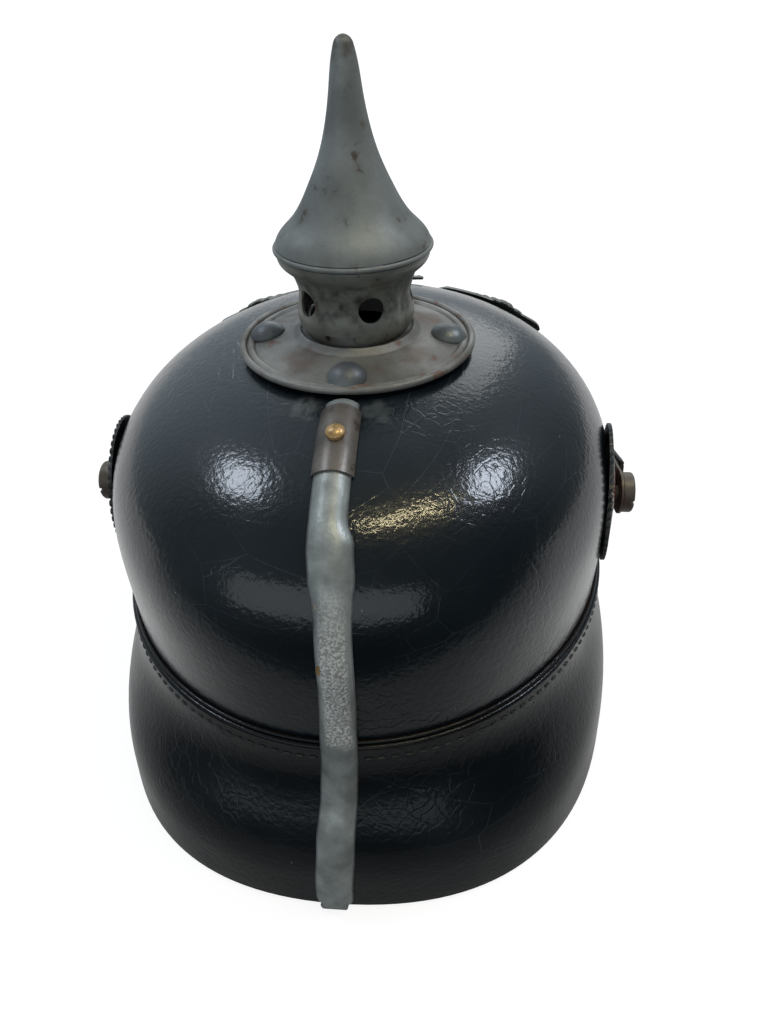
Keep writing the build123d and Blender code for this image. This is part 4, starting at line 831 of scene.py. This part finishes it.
def stitch_tree(material):
    """Lay stitches along a curve: its inputs are the pitch, the stitch's length and the thread's radius."""
    tree = bpy.data.node_groups.new("stitches_along_a_seam", "GeometryNodeTree")
    tree.is_modifier = True
    face = tree.interface
    face.new_socket("Geometry", in_out="INPUT", socket_type="NodeSocketGeometry")
    for name in stitch_sizes:
        face.new_socket(name, in_out="INPUT", socket_type="NodeSocketFloat")
    face.new_socket("Geometry", in_out="OUTPUT", socket_type="NodeSocketGeometry")
    given = add_node(tree, "NodeGroupInput").outputs
    curve = add_node(tree, "GeometryNodeMeshToCurve", {"Mesh": given["Geometry"]})
    points = add_node(
        tree, "GeometryNodeCurveToPoints", {"Curve": curve, "Length": given["Pitch"]}, mode="LENGTH"
    )
    tangent = points.outputs["Tangent"]
    along = add_node(tree, "FunctionNodeAlignRotationToVector", {"Vector": tangent}, axis="X")
    half = add_node(tree, "ShaderNodeMath", {0: given["Stitch Length"], 1: 0.5}, operation="MULTIPLY")
    thread = given["Thread Radius"]
    size = add_node(tree, "ShaderNodeCombineXYZ", {0: half, 1: thread, 2: thread})
    stitch = add_node(tree, "GeometryNodeMeshUVSphere", {"Segments": 8, "Rings": 6, "Radius": 1.0})
    laid = add_node(
        tree,
        "GeometryNodeInstanceOnPoints",
        {"Points": points, "Instance": stitch, "Rotation": along, "Scale": size},
    )
    real = add_node(tree, "GeometryNodeRealizeInstances", {"Geometry": laid})
    smooth = add_node(tree, "GeometryNodeSetShadeSmooth", {"Geometry": real, "Shade Smooth": True})
    finish = add_node(tree, "GeometryNodeSetMaterial", {"Geometry": smooth, "Material": material})
    add_node(tree, "NodeGroupOutput", {"Geometry": finish})
    return tree


def lay_stitches(name, line, sizes, material):
    """Stitch along a line of points: sizes are pitch, stitch length and thread radius in millimetres."""
    data = bpy.data.meshes.new(name + "_line")
    edges = [(at, at + 1) for at in range(len(line) - 1)]
    data.from_pydata([Vector(point) * mm for point in line], edges, [])
    guide = add_object(name + "_line", data)
    tree = stitch_tree(material)
    modifier = guide.modifiers.new("stitches", "NODES")
    modifier.node_group = tree
    keys = {item.name: item.identifier for item in tree.interface.items_tree if item.in_out == "INPUT"}
    for key, size in zip(stitch_sizes, sizes):
        modifier[keys[key]] = size * mm
    depsgraph = bpy.context.evaluated_depsgraph_get()
    mesh = bpy.data.meshes.new_from_object(guide.evaluated_get(depsgraph), depsgraph=depsgraph)
    mesh.name = name
    bpy.data.objects.remove(guide)
    piece = add_object(name, mesh)
    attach(piece, "helmet")
    print(name, "has", len(mesh.polygons), "faces")


stitch_drop, stitch_growth, seam_sizes = 4.9, 0.12, (4.5, 3.1, 0.5)
rear_line = [seam_point(angle, stitch_drop, stitch_growth) for angle in seam_angles(-7, 187, 220)]
front_line = [seam_point(angle, stitch_drop, stitch_growth) for angle in seam_angles(197, 343, 180)]
lay_stitches("rear_visor_stitches", rear_line, seam_sizes, thread_black)
lay_stitches("front_visor_stitches", front_line, seam_sizes, thread_black)

# %% [markdown]
# ## Eagle
# The helmet plate is a spread eagle, stamped from thin steel in a die, so its feathers, scales and crown are
# soft raised forms. The CAD plate gives its outline. Here each feather is a closed leaf that swells from its
# edges to a quill, laid on the dome's curve, and the leaves overlap like tiles. Bump in a material could
# suggest the feathers, but not their edges against the light. It is a traditional eagle of a general kind,
# with no motto and no cipher.

# %% Embossed leaves
plate_front = 4.3


def add_leaf(bm, start, end, half_width, swell, shape="feather", lift=0.0, quill=0.35, bend=0.0):
    """A raised leaf from one place to another on the front, closed below: places are across and up."""
    count, across = 11, 9
    tip_from, tip_length, root_length, sunk = 0.78, 0.22, 0.12, 0.35
    run = Vector((end[0] - start[0], end[1] - start[1]))
    side = Vector((-run.y, run.x)).normalized()
    rows = []
    for step in range(count):
        share = step / (count - 1)
        tip = math.sqrt(max(1 - (max(share - tip_from, 0) / tip_length) ** 2, 0))
        root = math.sqrt(max(1 - (max(root_length - share, 0) / root_length) ** 2, 0))
        if shape == "feather":
            wide = (0.62 + 0.38 * share) * tip * root
        elif shape == "scale":
            wide = math.sin(math.pi * min(0.18 + 0.82 * share, 1)) ** 0.5 if share < 1 else 0
        else:
            wide = (1 - 0.82 * share) * root
        wide = max(wide, 0.04) * half_width
        arc = bend * math.sin(math.pi * share)
        middle = Vector(start) + run * share + side * arc
        top, under = [], []
        for place in range(across):
            off = 2 * place / (across - 1) - 1
            at = middle + side * wide * off
            ends = min(1, 6 * min(share, 1 - share) + 0.15)
            round_over = swell * math.sqrt(max(1 - off * off, 0))
            high = (round_over + quill * math.exp(-((off / 0.22) ** 2))) * ends
            top.append(front_point(at.x, at.y, plate_front + lift * (0.4 + 0.6 * share) + high))
            under.append(front_point(at.x, at.y, plate_front - sunk))
        rows.append(top + list(reversed(under)))
    add_grid(bm, rows, close_across=True, caps=True)


def polar(start, length, degrees):
    """The place at a length and an angle from a start."""
    angle = math.radians(degrees)
    return (start[0] + length * math.cos(angle), start[1] + length * math.sin(angle))


def mirrored(side, place):
    """A place on the side of +1, or its mirror image on the side of -1."""
    return (side * place[0], place[1])


print("eagle's helpers ready")


# %% Wings and tail
def make_wings():
    """Long feathers, two rows of coverts and small scales along each arm, and the tail's fan."""
    bm = bmesh.new()
    lengths, scale_count, tail_count = (17, 24, 30, 34, 34, 31, 27, 22), 13, 7
    for side in (-1, 1):
        for index, length in enumerate(lengths):
            share = index / (len(lengths) - 1)
            base = (54 - 39 * share, 134 - 16 * share)
            turn = -8 - 78 * share
            tip = polar(base, length + 2.6, turn)
            bend = -0.9 * side
            add_leaf(bm, mirrored(side, base), mirrored(side, tip), 4.3, 0.75, lift=0.5, bend=bend)
        for row, (count, size, reach, swell) in enumerate(((9, 3.4, 13.0, 1.3), (10, 2.9, 8.5, 1.9))):
            for index in range(count):
                share = index / (count - 1)
                base = (55 - 43 * share, 136.5 - 13 * share**1.6 + 1.2 * row)
                tip = polar(base, reach, -14 - 70 * share)
                lift = 0.9 + 0.5 * row
                add_leaf(bm, mirrored(side, base), mirrored(side, tip), size, swell, "feather", lift)
        for index in range(scale_count):
            share = index / (scale_count - 1)
            base = (57 - 48 * share, 138.5 - 1.0 * math.sin(share * 3) - 13.5 * max(share - 0.45, 0))
            tip = polar(base, 5.2, -30 - 50 * share)
            add_leaf(bm, mirrored(side, base), mirrored(side, tip), 2.3, 1.6, "scale", 1.9)
    for index in range(tail_count):
        turn = -90 - 27 + 54 * index / (tail_count - 1)
        from_middle = index - tail_count // 2
        start, length = (0.8 * from_middle, 97.0), 22.5 if from_middle else 24.5
        add_leaf(bm, start, polar(start, length, turn), 3.6, 0.8, lift=0.5)
    finish_mesh("eagle_wings_and_tail", bm, eagle_steel, "helmet")


make_wings()


# %% Body, head and crown
def make_eagle_body():
    """Breast scales, neck, head with hooked beak and eye, a small arched crown, ribbons, legs and claws."""
    claw_root = (22, 90)
    bm = bmesh.new()
    add_leaf(bm, (0, 134), (0, 92), 12.5, 2.0, "scale", 0.2, 0.0)
    for row in range(8):
        height = 128.5 - 4.3 * row
        half = 9.8 - 0.16 * (row - 3.2) ** 2
        count = 5 + (row % 2)
        for index in range(count):
            across = half * (2 * index / (count - 1) - 1)
            add_leaf(bm, (across, height + 2.2), (across * 1.04, height - 4.2), 2.3, 1.1, "scale", 2.0, 0.25)
    add_leaf(bm, (0.5, 124), (-2.0, 140.0), 6.6, 2.6, "feather", 0.4, 0.0)
    add_leaf(bm, (3.4, 136.5), (-7.4, 136.8), 5.4, 3.2, "scale", 0.5, 0.0)
    add_leaf(bm, (-5.4, 137.6), (-12.6, 134.2), 2.3, 3.3, "claw", 0.2, 0.3, 1.1)
    add_leaf(bm, (-10.2, 136.0), (-12.6, 131.2), 1.3, 2.7, "claw", 0.2, 0.2, -0.8)
    add_leaf(bm, (-4.9, 138.7), (-3.3, 138.7), 0.8, 4.6, "scale", 0.3, 0.3)
    for index in range(5):
        start = (4.2 - 1.8 * index, 130.5 - 1.3 * (index % 2))
        add_leaf(bm, start, polar(start, 5.2, -100 + 6 * index), 1.7, 3.0, "scale", 0.8, 0.3)
    add_leaf(bm, (-6.2, 143.0), (5.2, 143.0), 1.5, 2.0, "feather", 0.3, 0.2)
    for turn, length in ((-33, 5.4), (-12, 6.4), (12, 6.4), (33, 5.4)):
        start, end = (-0.5 - turn * 0.13, 143.6), polar((-0.5, 143.0), length, 90 + turn)
        add_leaf(bm, start, end, 1.0, 1.6, "feather", 0.5, 0.5, 0.02 * turn)
    add_leaf(bm, (-1.9, 149.4), (0.9, 149.4), 1.35, 2.2, "scale", 0.5, 0.0)
    for side in (-1, 1):
        add_leaf(bm, (side * 6.5, 143.4), (side * 13.5, 146.6), 1.7, 0.9, "feather", 0.4, 0.3, side * 1.0)
        add_leaf(bm, (side * 12.4, 146.2), (side * 19.6, 147.2), 1.6, 0.9, "feather", 0.4, 0.3, -side * 1.0)
        add_leaf(bm, (side * 7.0, 107.0), (side * 18.5, 93.5), 4.8, 1.9, "feather", 0.6, 0.5)
        add_leaf(bm, (side * 12.0, 101.5), (side * 22.5, 90.0), 2.0, 2.2, "feather", 0.7, 0.2)
        for turn in (-100, -45, 10):
            joint = mirrored(side, polar(claw_root, 5.2, turn))
            tip = mirrored(side, polar(claw_root, 8.6, turn - 9))
            add_leaf(bm, mirrored(side, claw_root), joint, 1.4, 1.6, "feather", 0.6, 0.2)
            add_leaf(bm, joint, tip, 1.0, 1.3, "claw", 0.6, 0.2)
    finish_mesh("eagle_body_and_crown", bm, eagle_steel, "helmet")


make_eagle_body()

# %% [markdown]
# ## Liner
# Inside, a sheepskin sweatband is sewn round the rim, and ten thin leather tongues rise from it to a linen
# cord, which draws them together over the wearer's crown. The band and the tongues are grids that follow the
# shell's oval, with soft waves, and the cord is three strands laid up with a twist. A cloth simulation could
# drape the tongues, but they are sewn below and laced above, so one drawn profile says as much.

# %% Sweatband
rim_at_axis, band_steps = 56.2, 140


def band_point(angle, height, inset):
    """A point inside the shell, by its angle, its height above the tilted rim, and its depth from outside."""
    level = rim_at_axis + height
    for _ in range(3):
        reach = plan_reach(min(level, skull_equator)) - inset
        y = skull_centre + reach * skull_stretch * math.sin(angle)
        level = rim_at_axis + y * seam_tilt + height
    return Vector((reach * math.cos(angle), y, level))


def make_band():
    """A closed leather ring with a rolled lower edge and a thin, slightly wavy upper edge."""
    profile = [(3.05, 4.3), (3.05, 6.5), (3.0, 14), (3.0, 24), (3.05, 33.2), (3.6, 33.9), (4.15, 33.3)]
    profile += [(4.25, 26), (4.2, 15), (4.2, 8.5), (4.55, 7.2), (4.6, 5.4), (4.3, 4.3), (3.6, 4.05)]
    rows = []
    for step in range(band_steps):
        angle = math.tau * step / band_steps
        wave = 0.12 * math.sin(9 * angle) + 0.08 * math.sin(23 * angle + 1)
        rows.append([band_point(angle, high + 0.4 * wave, inset + max(wave, 0)) for inset, high in profile])
    bm = bmesh.new()
    add_grid(bm, rows, close_rows=True, close_across=True)
    finish_mesh("leather_sweatband", bm, liner_leather, "helmet", ["sweatband"])


make_band()
band_line = [band_point(math.tau * step / 200, 10.5, 4.3) for step in range(201)]
lay_stitches("sweatband_stitches", band_line, (3.6, 2.4, 0.3), thread_pale)

# %% Tongues
hem_reach, hem_height = 24.0, 136.6
upright = Vector((0, 0, 1))
tongue_count, tongue_half_gap, tongue_steps = 10, 3.6, 10
hem_outer, hem_inner, hem_half, hem_steps = 2.35, 1.45, math.radians(9.2), 8
# Up each tongue: height and distance from the helmet's axis.
tongue_profile = [
    (78.0, 93.6), (84.0, 93.3), (90.2, 92.2), (96.0, 90.8), (101.2, 89.1), (107.0, 86.9), (112.2, 84.2),
    (117.5, 80.4), (121.9, 75.8), (126.0, 69.9), (129.9, 62.7), (132.8, 54.8), (135.5, 44.9), (137.0, 36.5),
    (138.0, 28.4), (138.3, 25.6),
]


def tongue_point(angle, reach, height):
    """A point on the liner's oval, which turns into a circle round the cord near the top."""
    oval = min(max((reach - hem_reach) / 36, 0), 1)
    stretch = 1 + (skull_stretch - 1) * oval
    return Vector((reach * math.cos(angle), skull_centre * oval + reach * stretch * math.sin(angle), height))


def add_tongue(bm, tongue):
    """One thin leather finger with soft folds, and its hem: a tube with room for the cord."""
    share_angle = math.tau / tongue_count
    middle = share_angle * (tongue + 0.5)
    rows = []
    for at, (height, reach) in enumerate(tongue_profile):
        half = share_angle / 2 - math.asin(tongue_half_gap / reach)
        rise = at / (len(tongue_profile) - 1)
        outer, inner = [], []
        for step in range(tongue_steps + 1):
            share = 2 * step / tongue_steps - 1
            fold = 0.22 * math.sin(5 * share + tongue) * rise + 0.12 * math.sin(9 * rise + tongue)
            edge = 0.25 * abs(share) ** 8
            angle = middle + half * share
            outer.append(tongue_point(angle, reach - 0.25 + fold - edge, height))
            inner.append(tongue_point(angle, reach - 1.25 + fold + edge, height - 0.25 - 0.75 * rise))
        rows.append(outer + list(reversed(inner)))
    add_grid(bm, rows, close_across=True, caps=True)
    loops = []
    there, back_again = range(hem_steps + 1), range(hem_steps, -1, -1)
    for radius, order in ((hem_outer, there), (hem_inner, back_again)):
        for step in order:
            angle = middle - hem_half + 2 * hem_half * step / hem_steps
            out = Vector((math.cos(angle), math.sin(angle), 0))
            loops.append(ring(hem_reach * out + hem_height * upright, radius * out, radius * upright, 14))
    add_grid(bm, loops, close_rows=True, close_across=True)


tongues = bmesh.new()
for tongue in range(tongue_count):
    add_tongue(tongues, tongue)
finish_mesh("leather_tongues", tongues, liner_leather, "helmet", ["liner_tongues"])


# %% Cord
strand_radius, strands_apart, lay_turns = 0.55, 0.52, 34


def add_strand(bm, phase):
    """One strand of the cord's ring, twisted round the ring's middle line."""
    rows = []
    count = 260
    for step in range(count):
        angle = math.tau * step / count
        twist = lay_turns * angle + phase
        out = Vector((math.cos(angle), math.sin(angle), 0))
        reach = hem_reach + strands_apart * math.cos(twist)
        middle = reach * out + (hem_height + strands_apart * math.sin(twist)) * upright
        rows.append(ring(middle, strand_radius * out, strand_radius * upright, 6))
    add_grid(bm, rows, close_rows=True, close_across=True)


def add_knot(bm, centre, size):
    """A small round knot: a tube along a three-lobed closed line."""
    count = 60
    line = []
    for step in range(count):
        turn = math.tau * step / count
        lobe = (math.sin(turn) + 2 * math.sin(2 * turn), math.cos(turn) - 2 * math.cos(2 * turn))
        line.append(Vector((*lobe, -1.2 * math.sin(3 * turn))) * size / 3 + Vector(centre))
    rows = []
    for step, point in enumerate(line):
        along = (line[(step + 1) % count] - line[step - 1]).normalized()
        aside = along.cross(Vector((0.3, 0.2, 1))).normalized()
        rows.append(ring(point, strand_radius * aside, strand_radius * along.cross(aside), 8))
    add_grid(bm, rows, close_rows=True, close_across=True)


cord = bmesh.new()
for strand in range(3):
    add_strand(cord, math.tau * strand / 3)
add_knot(cord, (0, -hem_reach, hem_height), 1.5)
finish_mesh("twisted_liner_cord", cord, thread_pale, "helmet", ["liner_cord"])

# %% [markdown]
# ## Chinstrap
# Two halves of blackened strap leather run forward from the posts, over the front visor, and lap over each
# other under two sliding buckles. Each half is one closed band: its section has soft edges and a creased line
# near each edge, as a leather worker's creaser leaves it, and its end is rounded. A flat strip with bump in
# its material could stand in for it, but the strap is often seen edge on, where bump does nothing.

# %% Chinstrap
strap_side, strap_reach, strap_front_radius, strap_layer = 104.3, 152.0, 90.0, 2.1
strap_start, strap_past_middle, strap_half_width = 12.0, 34.0, 8.5
side_steps, front_steps = 35, 60
strap_lean = math.radians(13)
strap_forward = Vector((0, -math.cos(strap_lean), -math.sin(strap_lean)))
strap_down = Vector((0, math.sin(strap_lean), -math.cos(strap_lean)))
# Round the section: place across the strap and distance out from its inner face.
strap_section = [
    (-8.5, 0.9), (-8.25, 1.55), (-7.6, 1.76), (-7.0, 1.56), (-6.4, 1.8), (-3, 1.8), (3, 1.8), (6.4, 1.8),
    (7.0, 1.56), (7.6, 1.76), (8.25, 1.55), (8.5, 0.9), (8.1, 0.15), (3, 0.04), (-3, 0.04), (-8.1, 0.15),
]


def strap_path(extra):
    """Points and outward directions along one half, in its own plane: across and forward."""
    front_radius = strap_front_radius + extra
    front_centre = strap_reach - strap_front_radius
    side_radius = (strap_side**2 + front_centre**2 - front_radius**2) / (2 * (strap_side - front_radius))
    side_centre = strap_side - side_radius
    meet = math.atan2(front_centre, side_radius - strap_side)
    first = math.asin(strap_start / side_radius)
    last = math.pi / 2 + strap_past_middle / strap_front_radius
    side_angles = [first + (meet - first) * step / side_steps for step in range(side_steps + 1)]
    front_angles = [meet + (last - meet) * step / front_steps for step in range(1, front_steps + 1)]
    path = [(side_centre + side_radius * math.cos(a), side_radius * math.sin(a), a) for a in side_angles]
    path += [(front_radius * math.cos(a), front_centre + front_radius * math.sin(a), a) for a in front_angles]
    return path


def make_strap(side, name, extra, node):
    """One half of the chinstrap, on the side of +1 or -1."""
    places = strap_path(extra)
    lengths = lengths_along(places)
    rows = []
    for (across, forward, angle), length in zip(places, lengths):
        left = lengths[-1] - length
        short = max(strap_half_width - left, 0) / strap_half_width
        narrow = math.sqrt(max(1 - short**2, 0.01))
        row = []
        for down, out in strap_section:
            thick = out + 0.05 * math.sin(length * 0.5) * (1 if out > 1 else 0)
            x = across + thick * math.cos(angle)
            y = forward + thick * math.sin(angle)
            row.append(Vector((side * x, post_y, post_z)) + strap_forward * y + strap_down * down * narrow)
        rows.append(row)
    bm = bmesh.new()
    add_grid(bm, rows, close_across=True, caps=True)
    finish_mesh(name, bm, strap_leather, "chinstrap", [node])
    print(name, "is", round(lengths[-1], 1), "mm long")


make_strap(1, "left_chinstrap_half", 0.0, "left_strap")
make_strap(-1, "right_chinstrap_half", strap_layer, "right_strap")
